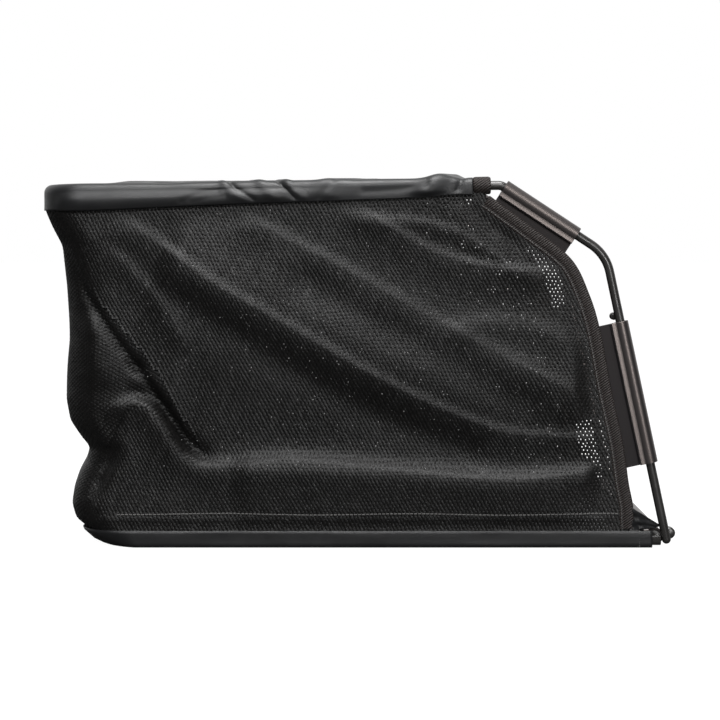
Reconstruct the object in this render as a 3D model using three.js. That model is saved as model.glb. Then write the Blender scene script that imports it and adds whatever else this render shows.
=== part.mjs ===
// Scarifier collection box: a fabric catcher bag hung on a bent steel wire frame.
// Millimetres. +X points to the open mouth, -Y is the right hand side panel, +Z is up.
// The origin is the middle of the underside of the box that bounds the whole object.

import * as THREE from 'three';

// Driving sizes of the frame
const WIRE_DIAMETER = 7;
const TRACK = 388;             // centre to centre of the two side wires
const RAIL_HEIGHT_FRONT = 280.5;
const RAIL_HEIGHT_REAR = 275;
const RAIL_FRONT_X = 106;      // where the top rail bends down
const REAR_BAR_X = -243;
const KNEE_X = 187;            // where the slanted part bends into the leg
const KNEE_HEIGHT = 227.5;
const FOOT_X = 235.5;
const FOOT_HEIGHT = 6.2;
const RAIL_BEND = 8;
const KNEE_BEND = 34;
const REAR_BEND = 26;
const LOWER_REAR_X = -202;
const LOWER_REAR_BEND = 30;
const TOP_BAR_SETBACK = 15;    // top bar behind the bend of the rail
const PEG_DIAMETER = 5.8;
const PEG_LENGTH = 8;
const PEG_HEIGHT = 179.5;
const BOTTOM_BAR_HEIGHT = 6.4;
const BOTTOM_BAR_SETBACK = 6;  // behind the feet
const BOSS_DIAMETER = 9.2;     // boss on the inside of each foot
const BOSS_LENGTH = 8;
const BOSS_HEIGHT = 10.4;
const BOSS_X = 238.5;

// Driving sizes of the cloth
const NET_THICKNESS = 1.6;
const COATED_THICKNESS = 1.2;
const BINDING_THICKNESS = 2.8;
const BINDING_WIDTH = 11;
const STRIP_HEIGHT = 13.5;     // coated strip round the foot of the bag
const STRIP_FRONT_X = 224;
const FLOOR_REAR_FULLNESS = 6.5; // cloth behind the lower wire
const SLEEVE_THICKNESS = 3;
const COVER_CROWN = 2;
const HEAD_DRIFT = 4;          // the net's last stretch above the mouth binding leans to the rear
const BACK_BULGE = 9;

// Driving sizes of the clips
const CLIP_WALL = 2.2;
const CLIP_TAIL = 24;          // wire centre to the end of the tail
const CLIP_NECK = 7.5;         // wire centre to where the tail starts
const UPPER_CLIP_LENGTH = 67;
const LOWER_CLIP_LENGTH = 112;
const UPPER_CLIP_START = 2.7;  // from the bend of the rail
const BOTTOM_CLIP_MARGIN = 20; // of bar left free at each end
const CLIP_LIP = 2.8;          // width of the free lip
const CLIP_LIP_GAP = 1.2;      // between the lip and the tail

// Clearances
const GAP = 0.3;               // between pieces that touch
const CLOTH_GAP = 0.5;         // between the cloth and the wire that it covers
const SEAM_GAP = 1.2;          // between two cloths at a sewn edge

// Smoothness
const WIRE_SIDES = 10;
const BEND_STEPS = 6;
const NET_ROWS = 22;           // the same on the side and the back, so that their seam closes
const FOOT_ROWS = 2;           // rows of the side net below the mouth binding
const HEAD_ROWS = 1;           // and above it

const WIRE_RADIUS = WIRE_DIAMETER / 2;
const SIDE_Y = TRACK / 2;
const CLOTH_Y = SIDE_Y + WIRE_RADIUS + CLOTH_GAP + COATED_THICKNESS;

const material = (color, roughness, metalness) =>
  new THREE.MeshStandardMaterial({ color, roughness, metalness });
const PAINTED_STEEL = material(0x161616, 0.38, 0.6);
const NET = material(0x0d0d0d, 0.9, 0);
const COATED = material(0x17181a, 0.5, 0);
const TAPE = material(0x141312, 0.85, 0);
const PLASTIC = material(0x0b0b0d, 0.22, 0);

const clamp01 = (t) => Math.min(1, Math.max(0, t));
const smooth = (t) => clamp01(t) ** 2 * (3 - 2 * clamp01(t));
const mix = (a, b, t) => a + (b - a) * t;

// The value at t of a list of [position, value] pairs, joined by straight lines
function along(pairs, t) {
  let last = 1;
  while (last < pairs.length - 1 && pairs[last][0] < t) last += 1;
  const [t0, a] = pairs[last - 1];
  const [t1, b] = pairs[last];
  return mix(a, b, clamp01((t - t0) / (t1 - t0)));
}

// Frame

// The points of a path with its inner corners rounded to the given bend radii
function bentPath(corners, bends) {
  const points = [corners[0].clone()];
  for (let i = 1; i < corners.length - 1; i += 1) {
    const back = corners[i - 1].clone().sub(corners[i]).normalize();
    const ahead = corners[i + 1].clone().sub(corners[i]).normalize();
    const halfAngle = back.angleTo(ahead) / 2;
    const reach = bends[i - 1] / Math.tan(halfAngle);
    const middle = back.clone().add(ahead).normalize();
    const centre = corners[i].clone().addScaledVector(middle, bends[i - 1] / Math.sin(halfAngle));
    const start = corners[i].clone().addScaledVector(back, reach).sub(centre);
    const end = corners[i].clone().addScaledVector(ahead, reach).sub(centre);
    const sweep = start.angleTo(end);
    for (let k = 0; k <= BEND_STEPS; k += 1) {
      const t = k / BEND_STEPS;
      const arm = start.clone().multiplyScalar(Math.sin((1 - t) * sweep) / Math.sin(sweep));
      arm.addScaledVector(end, Math.sin(t * sweep) / Math.sin(sweep));
      points.push(arm.add(centre));
    }
  }
  points.push(corners.at(-1).clone());
  return points;
}

// A round bar along a path. A round end adds a half ball past the end of the path.
function barAlong(points, radius, roundEnds) {
  const rings = [];
  let side = null;
  points.forEach((point, i) => {
    const before = points[Math.max(i - 1, 0)];
    const after = points[Math.min(i + 1, points.length - 1)];
    const direction = after.clone().sub(before).normalize();
    if (side === null) {
      const helper = Math.abs(direction.y) < 0.9 ? new THREE.Vector3(0, 1, 0) : new THREE.Vector3(0, 0, 1);
      side = helper.clone();
    }
    side.addScaledVector(direction, -side.dot(direction)).normalize();
    rings.push({ point: point.clone(), direction, side: side.clone(), radius });
  });
  if (roundEnds) {
    const cap = (ring, sign) => [0.5, 0.87].map((s) => ({
      ...ring,
      point: ring.point.clone().addScaledVector(ring.direction, sign * radius * s),
      radius: radius * Math.sqrt(1 - s * s),
    }));
    rings.unshift(...cap(rings[0], -1).reverse());
    rings.push(...cap(rings.at(-1), 1));
  }
  const positions = [];
  const faces = [];
  for (const ring of rings) {
    const up = ring.direction.clone().cross(ring.side);
    for (let k = 0; k < WIRE_SIDES; k += 1) {
      const angle = (2 * Math.PI * k) / WIRE_SIDES;
      const vertex = ring.point.clone();
      vertex.addScaledVector(ring.side, ring.radius * Math.cos(angle));
      vertex.addScaledVector(up, ring.radius * Math.sin(angle));
      positions.push(vertex);
    }
  }
  for (let r = 0; r < rings.length - 1; r += 1) {
    for (let k = 0; k < WIRE_SIDES; k += 1) {
      const a = r * WIRE_SIDES + k;
      const b = r * WIRE_SIDES + ((k + 1) % WIRE_SIDES);
      faces.push([a, b, b + WIRE_SIDES], [a, b + WIRE_SIDES, a + WIRE_SIDES]);
    }
  }
  const tip = (ring, sign) => ring.point.clone().addScaledVector(
    ring.direction, roundEnds ? sign * radius * 0.13 : 0);
  const startTip = positions.push(tip(rings[0], -1)) - 1;
  const endTip = positions.push(tip(rings.at(-1), 1)) - 1;
  const lastRing = (rings.length - 1) * WIRE_SIDES;
  for (let k = 0; k < WIRE_SIDES; k += 1) {
    const next = (k + 1) % WIRE_SIDES;
    faces.push([startTip, next, k], [endTip, lastRing + k, lastRing + next]);
  }
  return geometryOf(positions, faces);
}

function geometryOf(positions, faces) {
  const geometry = new THREE.BufferGeometry();
  geometry.setAttribute('position', new THREE.Float32BufferAttribute(positions.flatMap((p) => p.toArray()), 3));
  geometry.setIndex(faces.flat());
  return geometry;
}

const foot = (y) => new THREE.Vector3(FOOT_X, y, FOOT_HEIGHT);
const knee = (y) => new THREE.Vector3(KNEE_X, y, KNEE_HEIGHT);
const railFront = (y) => new THREE.Vector3(RAIL_FRONT_X, y, RAIL_HEIGHT_FRONT);
const railRear = (y) => new THREE.Vector3(REAR_BAR_X, y, RAIL_HEIGHT_REAR);
const railHeight = (x) =>
  mix(RAIL_HEIGHT_REAR, RAIL_HEIGHT_FRONT, (x - REAR_BAR_X) / (RAIL_FRONT_X - REAR_BAR_X));
const legX = (z) => mix(FOOT_X, KNEE_X, (z - FOOT_HEIGHT) / (KNEE_HEIGHT - FOOT_HEIGHT));

function upperFrameWire() {
  const corners = [
    foot(-SIDE_Y), knee(-SIDE_Y), railFront(-SIDE_Y), railRear(-SIDE_Y),
    railRear(SIDE_Y), railFront(SIDE_Y), knee(SIDE_Y), foot(SIDE_Y),
  ];
  const bends = [KNEE_BEND, RAIL_BEND, REAR_BEND, REAR_BEND, RAIL_BEND, KNEE_BEND];
  return barAlong(bentPath(corners, bends), WIRE_RADIUS, true);
}

// The lower wire lies in the turned up edge of the floor and butts on the feet
const LOWER_WIRE_HEIGHT = COATED_THICKNESS + CLOTH_GAP + WIRE_RADIUS;
const LEG_LEAN = Math.atan2(FOOT_X - KNEE_X, KNEE_HEIGHT - FOOT_HEIGHT);
const LOWER_WIRE_FRONT_X =
  FOOT_X - (WIRE_RADIUS + GAP) / Math.cos(LEG_LEAN) - WIRE_RADIUS * Math.tan(LEG_LEAN);

function lowerFrameWire() {
  const corner = (x, y) => new THREE.Vector3(x, y, LOWER_WIRE_HEIGHT);
  const corners = [
    corner(LOWER_WIRE_FRONT_X, -SIDE_Y), corner(LOWER_REAR_X, -SIDE_Y),
    corner(LOWER_REAR_X, SIDE_Y), corner(LOWER_WIRE_FRONT_X, SIDE_Y),
  ];
  return barAlong(bentPath(corners, [LOWER_REAR_BEND, LOWER_REAR_BEND]), WIRE_RADIUS, false);
}

// The bottom bar is welded between the front ends of the lower wire
const BOTTOM_BAR_X = FOOT_X - BOTTOM_BAR_SETBACK;
const BOTTOM_BAR_HALF = SIDE_Y - WIRE_RADIUS - GAP;
const BOTTOM_CLIP_LENGTH = 2 * (BOTTOM_BAR_HALF - BOTTOM_CLIP_MARGIN);

function crossBar(x, z, halfLength, radius = WIRE_RADIUS) {
  const ends = [new THREE.Vector3(x, -halfLength, z), new THREE.Vector3(x, halfLength, z)];
  return barAlong(ends, radius, false);
}

const TOP_BAR_X = RAIL_FRONT_X - TOP_BAR_SETBACK;
const SLEEVE_RADIUS = WIRE_RADIUS + GAP + SLEEVE_THICKNESS;
const TOP_BAR_HALF = SIDE_Y - SLEEVE_RADIUS - GAP;

const frontBottomBar = () => crossBar(BOTTOM_BAR_X, BOTTOM_BAR_HEIGHT, BOTTOM_BAR_HALF);
const frontTopBar = () => crossBar(TOP_BAR_X, railHeight(TOP_BAR_X), TOP_BAR_HALF);

// A short round piece on the inside of the right leg
function insideLeg(x, z, length, radius) {
  const start = -SIDE_Y + WIRE_RADIUS + GAP;
  return barAlong([new THREE.Vector3(x, start, z), new THREE.Vector3(x, start + length, z)], radius, false);
}

// The peg stops the lower clip from sliding up
const stopPeg = () => insideLeg(legX(PEG_HEIGHT) - WIRE_RADIUS, PEG_HEIGHT, PEG_LENGTH, PEG_DIAMETER / 2);
const footBoss = () => insideLeg(BOSS_X, BOSS_HEIGHT, BOSS_LENGTH, BOSS_DIAMETER / 2);

// Clips

// Section of a clip: x points away from the bag, y to the outside, the wire's centre is the origin.
// The wall runs from the tail behind the wire, round its outer side and back to a free lip.
function clipSection() {
  const ring = WIRE_RADIUS + GAP + CLIP_WALL / 2;
  const tangent = Math.acos(-ring / CLIP_NECK);
  const lipHeight = CLIP_WALL + CLIP_LIP_GAP;
  const lipAngle = Math.PI - Math.asin(lipHeight / ring);
  const middle = [new THREE.Vector2(-CLIP_TAIL, 0), new THREE.Vector2(-CLIP_NECK, 0)];
  const arcSteps = 14;
  for (let k = 0; k <= arcSteps; k += 1) {
    const angle = mix(-tangent, lipAngle, k / arcSteps);
    middle.push(new THREE.Vector2(ring * Math.cos(angle), ring * Math.sin(angle)));
  }
  const lipStart = ring * Math.cos(lipAngle) - CLIP_WALL / 2;
  middle.push(new THREE.Vector2(lipStart, lipHeight), new THREE.Vector2(lipStart - CLIP_LIP, lipHeight));
  const offsetPoint = (i, side) => {
    const before = middle[Math.max(i - 1, 0)];
    const after = middle[Math.min(i + 1, middle.length - 1)];
    const direction = after.clone().sub(before).normalize();
    const normal = new THREE.Vector2(direction.y, -direction.x);
    return middle[i].clone().addScaledVector(normal, (side * CLIP_WALL) / 2);
  };
  const outer = middle.map((_, i) => offsetPoint(i, 1));
  const inner = middle.map((_, i) => offsetPoint(i, -1)).reverse();
  return new THREE.Shape([...outer, ...inner]);
}

// A clip on a straight stretch: start point, wire direction and the direction away from the bag
function clipOn(start, direction, away, length) {
  const outside = new THREE.Vector3().crossVectors(direction, away);
  const geometry = new THREE.ExtrudeGeometry(clipSection(), { depth: length, bevelEnabled: false, steps: 1 });
  const placed = new THREE.Matrix4().makeBasis(away, outside, direction);
  placed.setPosition(start);
  geometry.applyMatrix4(placed);
  return geometry;
}

function sideClip(from, to, distance, length) {
  const direction = to.clone().sub(from).normalize();
  const start = from.clone().addScaledVector(direction, distance);
  const away = new THREE.Vector3(-direction.z, 0, direction.x);
  if (away.x < 0) away.negate();
  return clipOn(start, direction, away, length);
}

const upperSideClip = () => sideClip(railFront(-SIDE_Y), knee(-SIDE_Y), UPPER_CLIP_START, UPPER_CLIP_LENGTH);

// The lower clip hangs just under the stop peg
function lowerSideClip() {
  const belowPeg = PEG_HEIGHT - PEG_DIAMETER / 2 - GAP - WIRE_RADIUS * Math.sin(LEG_LEAN);
  return sideClip(knee(-SIDE_Y), foot(-SIDE_Y), (KNEE_HEIGHT - belowPeg) / Math.cos(LEG_LEAN), LOWER_CLIP_LENGTH);
}

// The tail of the bottom clip slopes down until it lies on the floor of the bag
function bottomClip() {
  const drop = BOTTOM_BAR_HEIGHT - COATED_THICKNESS - GAP - CLIP_WALL / 2;
  const pitch = Math.asin(drop / CLIP_TAIL);
  const away = new THREE.Vector3(Math.cos(pitch), 0, Math.sin(pitch));
  const start = new THREE.Vector3(BOTTOM_BAR_X, BOTTOM_CLIP_LENGTH / 2, BOTTOM_BAR_HEIGHT);
  return clipOn(start, new THREE.Vector3(0, -1, 0), away, BOTTOM_CLIP_LENGTH);
}

// Cloth

// A cloth of the given thickness laid inside an open surface of points and faces
function thicken(points, faces, thickness) {
  const normals = points.map(() => new THREE.Vector3());
  const edges = new Map();
  for (const face of faces) {
    const [a, b, c] = face.map((i) => points[i]);
    const normal = b.clone().sub(a).cross(c.clone().sub(a));
    face.forEach((i) => normals[i].add(normal));
    face.forEach((i, k) => edges.set(`${i},${face[(k + 1) % 3]}`, [i, face[(k + 1) % 3]]));
  }
  const count = points.length;
  const inner = points.map((p, i) => p.clone().addScaledVector(normals[i].normalize(), -thickness));
  const skin = [...faces, ...faces.map(([a, b, c]) => [a + count, c + count, b + count])];
  for (const [a, b] of edges.values()) {
    if (edges.has(`${b},${a}`)) continue;
    skin.push([b, a, a + count], [b, a + count, b + count]);
  }
  return geometryOf([...points, ...inner], skin);
}

// A sheet of cells between points. A mesh has every third cell of every third row left open.
function clothGrid(columns, rows, thickness, place, isMesh = false) {
  const points = [];
  const faces = [];
  for (let j = 0; j <= rows; j += 1) {
    for (let i = 0; i <= columns; i += 1) points.push(place(i / columns, j / rows));
  }
  for (let j = 0; j < rows; j += 1) {
    for (let i = 0; i < columns; i += 1) {
      if (isMesh && i % 3 === 1 && j % 3 === 1) continue;
      const a = j * (columns + 1) + i;
      const c = a + columns + 2;
      faces.push([a, a + 1, c], [a, c, c - 1]);
    }
  }
  return thicken(points, faces, thickness);
}

// Soft folds of the side net as seen from the side: [x, height] along each crest.
// A positive height stands out of the panel and a negative one is a hollow.
const SIDE_FOLDS = [
  { height: 4.5, reach: 15, line: [[-175, 248], [-118, 207], [-77, 183], [0, 138], [51, 112], [108, 90], [151, 87]] },
  { height: 4, reach: 14, line: [[-64, 241], [-11, 214], [57, 176], [112, 147], [151, 127], [182, 108]] },
  { height: 4, reach: 11, line: [[-9, 268], [15, 251], [57, 228], [96, 217], [125, 214]] },
  { height: 3.5, reach: 8, line: [[71, 268], [93, 251], [105, 239]] },
  { height: -3.5, reach: 8, line: [[84, 264], [96, 250], [112, 244]] },
  { height: 5, reach: 10, line: [[-175, 113], [-163, 107], [-138, 72], [-125, 63], [-106, 63], [-52, 68]] },
  { height: 3, reach: 11, line: [[-52, 68], [32, 60], [112, 53], [164, 58]] },
  { height: -4, reach: 12, line: [[-160, 205], [-90, 160], [10, 105], [100, 70]] },
  { height: -3, reach: 12, line: [[-60, 215], [0, 180], [80, 138], [140, 105]] },
  { height: -10, reach: 13, line: [[-226, 215], [-205, 182], [-178, 140], [-160, 108], [-142, 84], [-128, 68]] },
  { height: -6, reach: 8, line: [[-190, 82], [-203, 60], [-214, 34]] },
];

// Rear outline of the bag at each height, as [height, x], and the radius of its corner
const REAR_OUTLINE = [
  [14, -217], [20, -226], [32, -229], [43, -227], [55, -222], [66, -216], [76, -214], [84, -221],
  [97, -230], [113, -233], [160, -231], [203, -233], [234, -236], [247, -242], [262, -248],
];
const REAR_CORNER = [[14, 30], [60, 34], [120, 42], [200, 40], [262, 27]];
const BAG_TOP_REAR = RAIL_HEIGHT_REAR - 14;
const BAG_FOOT = STRIP_HEIGHT + GAP;
const NET_Y = CLOTH_Y - 1.2;

// Edge of the mouth as seen from the side, from the floor to the top sleeve, with its heights as
// shares of the way up to the rail
const MOUTH_SHARES = [
  [209, 0.119], [205.6, 0.182], [201, 0.292], [192, 0.435], [183, 0.599], [174, 0.702], [160, 0.799],
  [128.5, 0.889], [97, 0.971],
];
const MOUTH_EDGE = MOUTH_SHARES.map(([x, share]) => [x, share * RAIL_HEIGHT_FRONT]);
const mouthCurve = new THREE.CatmullRomCurve3(MOUTH_EDGE.map(([x, z]) => new THREE.Vector3(x, 0, z)));

// The mouth edge moved into the bag by a distance, at a share v of its length
function mouthPoint(v, inset) {
  const point = mouthCurve.getPointAt(v);
  const tangent = mouthCurve.getTangentAt(v);
  return point.add(new THREE.Vector3(-tangent.z, 0, tangent.x).multiplyScalar(inset));
}

function distanceToLine(line, x, z) {
  let best = Infinity;
  for (let i = 1; i < line.length; i += 1) {
    const [x0, z0] = line[i - 1];
    const [x1, z1] = line[i];
    const t = clamp01(((x - x0) * (x1 - x0) + (z - z0) * (z1 - z0)) / ((x1 - x0) ** 2 + (z1 - z0) ** 2));
    best = Math.min(best, Math.hypot(x - mix(x0, x1, t), z - mix(z0, z1, t)));
  }
  return best;
}

function foldHeight(x, z) {
  return SIDE_FOLDS.reduce(
    (sum, fold) => sum + fold.height * Math.exp(-((distanceToLine(fold.line, x, z) / fold.reach) ** 2)), 0);
}

// Lower edge of the coated top on the side, as [x, distance below the rail]
const SEAM_DROP = [
  [-250, 13.8], [-211, 14.3], [-157, 12.9], [-93, 10.9], [25, 9.3], [67, 7], [84, 7], [98, 7],
];
const seamHeight = (x) => railHeight(x) - along(SEAM_DROP, x);

const rearEdgeHeight = (v) => mix(BAG_FOOT, BAG_TOP_REAR - GAP, v);

function rearEdge(v) {
  const z = rearEdgeHeight(v);
  return new THREE.Vector3(along(REAR_OUTLINE, z) + along(REAR_CORNER, z), 0, z);
}

const edgeFade = (t) => smooth(Math.min(t, 1 - t) / 0.09);

// The side net fills the space between the rear corner, the mouth binding, the strip and the top
function sideNet() {
  const front = (v) => mouthPoint(v, BINDING_WIDTH + SEAM_GAP);
  const frontFoot = new THREE.Vector3(front(0).x, 0, BAG_FOOT);
  const headX = front(1).x - HEAD_DRIFT;
  const frontHead = new THREE.Vector3(headX, 0, seamHeight(headX) - GAP);
  const footShare = FOOT_ROWS / NET_ROWS;
  const headShare = 1 - HEAD_ROWS / NET_ROWS;
  const side = (v) => {
    if (v < footShare) return frontFoot.clone().lerp(front(0), v / footShare);
    if (v > headShare) return front(1).lerp(frontHead, (v - headShare) / (1 - headShare));
    return front((v - footShare) / (headShare - footShare));
  };
  const foot0 = rearEdge(0);
  const top0 = rearEdge(1);
  const bottom = (u) => new THREE.Vector3(mix(foot0.x, frontFoot.x, u), 0, BAG_FOOT);
  const top = (u) => {
    const x = mix(top0.x, frontHead.x, u);
    return new THREE.Vector3(x, 0, seamHeight(x) - GAP);
  };
  return clothGrid(36, NET_ROWS, NET_THICKNESS, (u, v) => {
    const point = bottom(u).multiplyScalar(1 - v).addScaledVector(top(u), v);
    point.addScaledVector(rearEdge(v), 1 - u).addScaledVector(side(v), u);
    point.addScaledVector(foot0, -(1 - u) * (1 - v)).addScaledVector(frontFoot, -u * (1 - v));
    point.addScaledVector(top0, -(1 - u) * v).addScaledVector(frontHead, -u * v);
    const fade = edgeFade(v) * smooth((1 - u) / 0.08) * smooth(u / 0.06);
    point.x += SEAM_GAP * (1 - u);
    point.y = -(NET_Y + foldHeight(point.x, point.z) * fade);
    return point;
  }, true);
}

// The back net runs round both rear corners, with loose cloth that bulges to the rear
function backNet() {
  const cornerShare = 0.3;
  const place = (t, v) => {
    const z = rearEdgeHeight(v);
    const rear = along(REAR_OUTLINE, z);
    const radius = along(REAR_CORNER, z);
    const flat = NET_Y - radius;
    if (t < cornerShare) {
      const angle = (t / cornerShare) * (Math.PI / 2);
      const fold = foldHeight(rear + radius * (1 - Math.sin(angle)), z) * edgeFade(v);
      const out = radius + fold * Math.sin(2 * angle);
      return new THREE.Vector3(rear + radius - radius * Math.sin(angle), -(flat + out * Math.cos(angle)), z);
    }
    const y = -flat * (1 - (t - cornerShare) / (1 - cornerShare));
    const bulge = BACK_BULGE * (1 - (y / flat) ** 2) * smooth(v * 5) * smooth((1 - v) * 5);
    return new THREE.Vector3(rear - bulge, y, z);
  };
  return clothGrid(30, NET_ROWS, NET_THICKNESS, (u, v) => {
    const t = 1 - Math.abs(2 * u - 1);
    const point = place(t, v);
    if (u > 0.5) point.y = -point.y;
    return new THREE.Vector3(point.x, -point.y, point.z);
  }, true);
}

// Woven tape folded over the edge of the net at the mouth
function mouthBinding() {
  return clothGrid(2, NET_ROWS - FOOT_ROWS - HEAD_ROWS, BINDING_THICKNESS, (u, v) => {
    const point = mouthPoint(v, mix(BINDING_WIDTH, 0, u));
    point.y = -NET_Y;
    return point;
  });
}

// A tray of cloth: a rounded plan with its rim turned over, open at the front.
// rings holds the rim and the flat as functions of the outline, from the free edge to the middle.
function trayCloth({ frontX, rearX, halfWidth, corner, thickness, spineX, ringAt, ringCount, spineZ, facesUp }) {
  const outline = [];
  const sideSteps = 14;
  const cornerSteps = 5;
  for (let k = 0; k < sideSteps; k += 1) {
    outline.push({ x: mix(frontX, rearX + corner, k / sideSteps), y: -halfWidth, nx: 0, ny: -1 });
  }
  for (let k = 0; k <= cornerSteps; k += 1) {
    const angle = (k / cornerSteps) * (Math.PI / 2);
    const nx = -Math.sin(angle);
    const ny = -Math.cos(angle);
    outline.push({ x: rearX + corner + corner * nx, y: -(halfWidth - corner) + corner * ny, nx, ny });
  }
  const rearSteps = 6;
  for (let k = 1; k < rearSteps; k += 1) {
    outline.push({ x: rearX, y: mix(-(halfWidth - corner), 0, k / rearSteps), nx: -1, ny: 0 });
  }
  outline.push({ x: rearX, y: 0, nx: -1, ny: 0 });
  const mirrored = outline.slice(0, -1).reverse().map((o) => ({ ...o, y: -o.y, ny: -o.ny }));
  const loop = [...outline, ...mirrored];
  const points = [];
  const spine = new Map();
  const indexOf = loop.map((o) => {
    const row = [];
    for (let k = 0; k < ringCount; k += 1) row.push(points.push(ringAt(o, k)) - 1);
    const x = Math.max(o.x, spineX);
    const key = x.toFixed(3);
    if (!spine.has(key)) spine.set(key, points.push(new THREE.Vector3(x, 0, spineZ(x))) - 1);
    row.push(spine.get(key));
    return row;
  });
  const faces = [];
  for (let i = 0; i < loop.length - 1; i += 1) {
    for (let k = 0; k < ringCount; k += 1) {
      const [a, b] = [indexOf[i][k], indexOf[i][k + 1]];
      const [d, c] = [indexOf[i + 1][k], indexOf[i + 1][k + 1]];
      for (const face of [[a, b, c], [a, c, d]]) {
        if (new Set(face).size === 3) faces.push(facesUp ? face : face.reverse());
      }
    }
  }
  return thicken(points, faces, thickness);
}

// Folds across the coated top, as [x at the right side, x drift across, height, reach]
const TOP_FOLDS = [
  [57, 50, 4.5, 9], [-78, 30, 3, 8], [-91, 30, -3, 6], [-135, -20, 1.5, 9], [-30, 60, 1.5, 14], [10, -50, 1.5, 12],
];

function coverRelief(x, y) {
  const across = (y + SIDE_Y) / TRACK;
  return TOP_FOLDS.reduce(
    (sum, [start, drift, height, reach]) =>
      sum + height * Math.exp(-(((x - start - drift * across) / reach) ** 2)) * (1 - 0.6 * across), 0);
}

const COVER_FRONT_X = TOP_BAR_X - SLEEVE_RADIUS - GAP;

function topCover() {
  const shoulder = WIRE_RADIUS + CLOTH_GAP + COATED_THICKNESS;
  const rearX = REAR_BAR_X - shoulder;
  const insets = [14, 45, 105];
  const topZ = (x, y) => railHeight(x) + shoulder + COVER_CROWN * Math.cos((y / SIDE_Y) * (Math.PI / 2));
  const ringAt = (o, k) => {
    const centre = new THREE.Vector3(o.x - o.nx * shoulder, o.y - o.ny * shoulder, railHeight(o.x));
    const out = new THREE.Vector3(o.nx, o.ny, 0);
    if (k === 0) return centre.addScaledVector(out, shoulder).setZ(seamHeight(o.x) + GAP);
    if (k <= 4) {
      const angle = ((k - 1) / 3) * (Math.PI / 2);
      centre.addScaledVector(out, shoulder * Math.cos(angle));
      centre.z += shoulder * Math.sin(angle);
      centre.z += k === 4 ? Math.max(0, coverRelief(centre.x, centre.y)) * 0.5 : 0;
      return centre;
    }
    const spineX = Math.max(o.x, -120);
    const toSpine = new THREE.Vector3(spineX - centre.x, -centre.y, 0);
    centre.addScaledVector(toSpine.clone().normalize(), Math.min(insets[k - 5], toSpine.length() * 0.8));
    return centre.setZ(topZ(centre.x, centre.y) + coverRelief(centre.x, centre.y));
  };
  return trayCloth({
    frontX: COVER_FRONT_X, rearX, halfWidth: CLOTH_Y, corner: REAR_BEND + shoulder,
    thickness: COATED_THICKNESS, spineX: -120, ringAt, ringCount: 8,
    spineZ: (x) => topZ(x, 0) + coverRelief(x, 0), facesUp: true,
  });
}

// A woven sleeve round a wire
function sleeveAlong(start, end) {
  const ring = new THREE.Shape().absarc(0, 0, SLEEVE_RADIUS, 0, 2 * Math.PI, false);
  ring.holes.push(new THREE.Path().absarc(0, 0, WIRE_RADIUS + GAP, 0, 2 * Math.PI, true));
  const span = end.clone().sub(start);
  const geometry = new THREE.ExtrudeGeometry(ring, { depth: span.length(), bevelEnabled: false, curveSegments: 8 });
  geometry.applyQuaternion(new THREE.Quaternion().setFromUnitVectors(new THREE.Vector3(0, 0, 1), span.normalize()));
  geometry.translate(start.x, start.y, start.z);
  return geometry;
}

// The end of the coated top is sewn into a sleeve round the top bar
function topFrontSleeve() {
  const end = (y) => new THREE.Vector3(TOP_BAR_X, y, railHeight(TOP_BAR_X));
  return sleeveAlong(end(-TOP_BAR_HALF), end(TOP_BAR_HALF));
}

// The sleeve ends round the rail, in the upper corner of the mouth
function cornerSleeve() {
  const end = (x) => new THREE.Vector3(x, -SIDE_Y, railHeight(x));
  return sleeveAlong(end(TOP_BAR_X - SLEEVE_RADIUS), end(TOP_BAR_X + SLEEVE_RADIUS));
}

function bottomPanel() {
  const rearX = LOWER_REAR_X - WIRE_RADIUS - CLOTH_GAP - COATED_THICKNESS - FLOOR_REAR_FULLNESS;
  const corner = LOWER_REAR_BEND + 6;
  const edgeRadius = 3;
  const insets = [16, 60];
  const ringAt = (o, k) => {
    const rear = Math.max(0, -o.nx);
    const point = new THREE.Vector3(o.x, o.y, STRIP_HEIGHT);
    const out = new THREE.Vector3(o.nx, o.ny, 0);
    if (k === 0) return point;
    if (k === 1) return point.addScaledVector(out, -rear * 1.5).setZ(STRIP_HEIGHT * 0.6);
    if (k === 2) return point.addScaledVector(out, -rear * 4).setZ(edgeRadius);
    if (k === 3) return point.addScaledVector(out, -rear * 5 - edgeRadius * 0.4).setZ(edgeRadius * 0.3);
    if (k === 4) return point.addScaledVector(out, -rear * 6.3 - edgeRadius).setZ(0);
    const spineX = Math.max(o.x, -80);
    const toSpine = new THREE.Vector3(spineX - point.x, -point.y, 0).normalize();
    return point.addScaledVector(toSpine, insets[k - 5]).setZ(0);
  };
  return trayCloth({
    frontX: STRIP_FRONT_X, rearX, halfWidth: CLOTH_Y, corner, thickness: COATED_THICKNESS,
    spineX: -80, ringAt, ringCount: 7, spineZ: () => 0, facesUp: false,
  });
}

// Coated corner between the foot of the mouth binding and the foot of the leg
function bottomGusset() {
  const [mouthX, mouthZ] = MOUTH_EDGE[0];
  const footZ = STRIP_HEIGHT + 2 * GAP;
  const tipX = legX(footZ) - 1;
  return clothGrid(6, 3, COATED_THICKNESS, (u, v) => {
    const x = mix(mouthX - 1, mix(STRIP_FRONT_X, tipX, v), u);
    const z = mix(footZ, mix(mouthZ - 2, footZ + 1.5, u), v);
    const inward = smooth((x - mouthX) / (tipX - mouthX)) * (CLOTH_Y - SIDE_Y + WIRE_RADIUS + 2 * COATED_THICKNESS);
    const crease = 0.8 * Math.sin(u * 9 + v * 4) * (1 - u);
    return new THREE.Vector3(x, -(NET_Y + crease - inward), z);
  });
}

// The whole object

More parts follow.
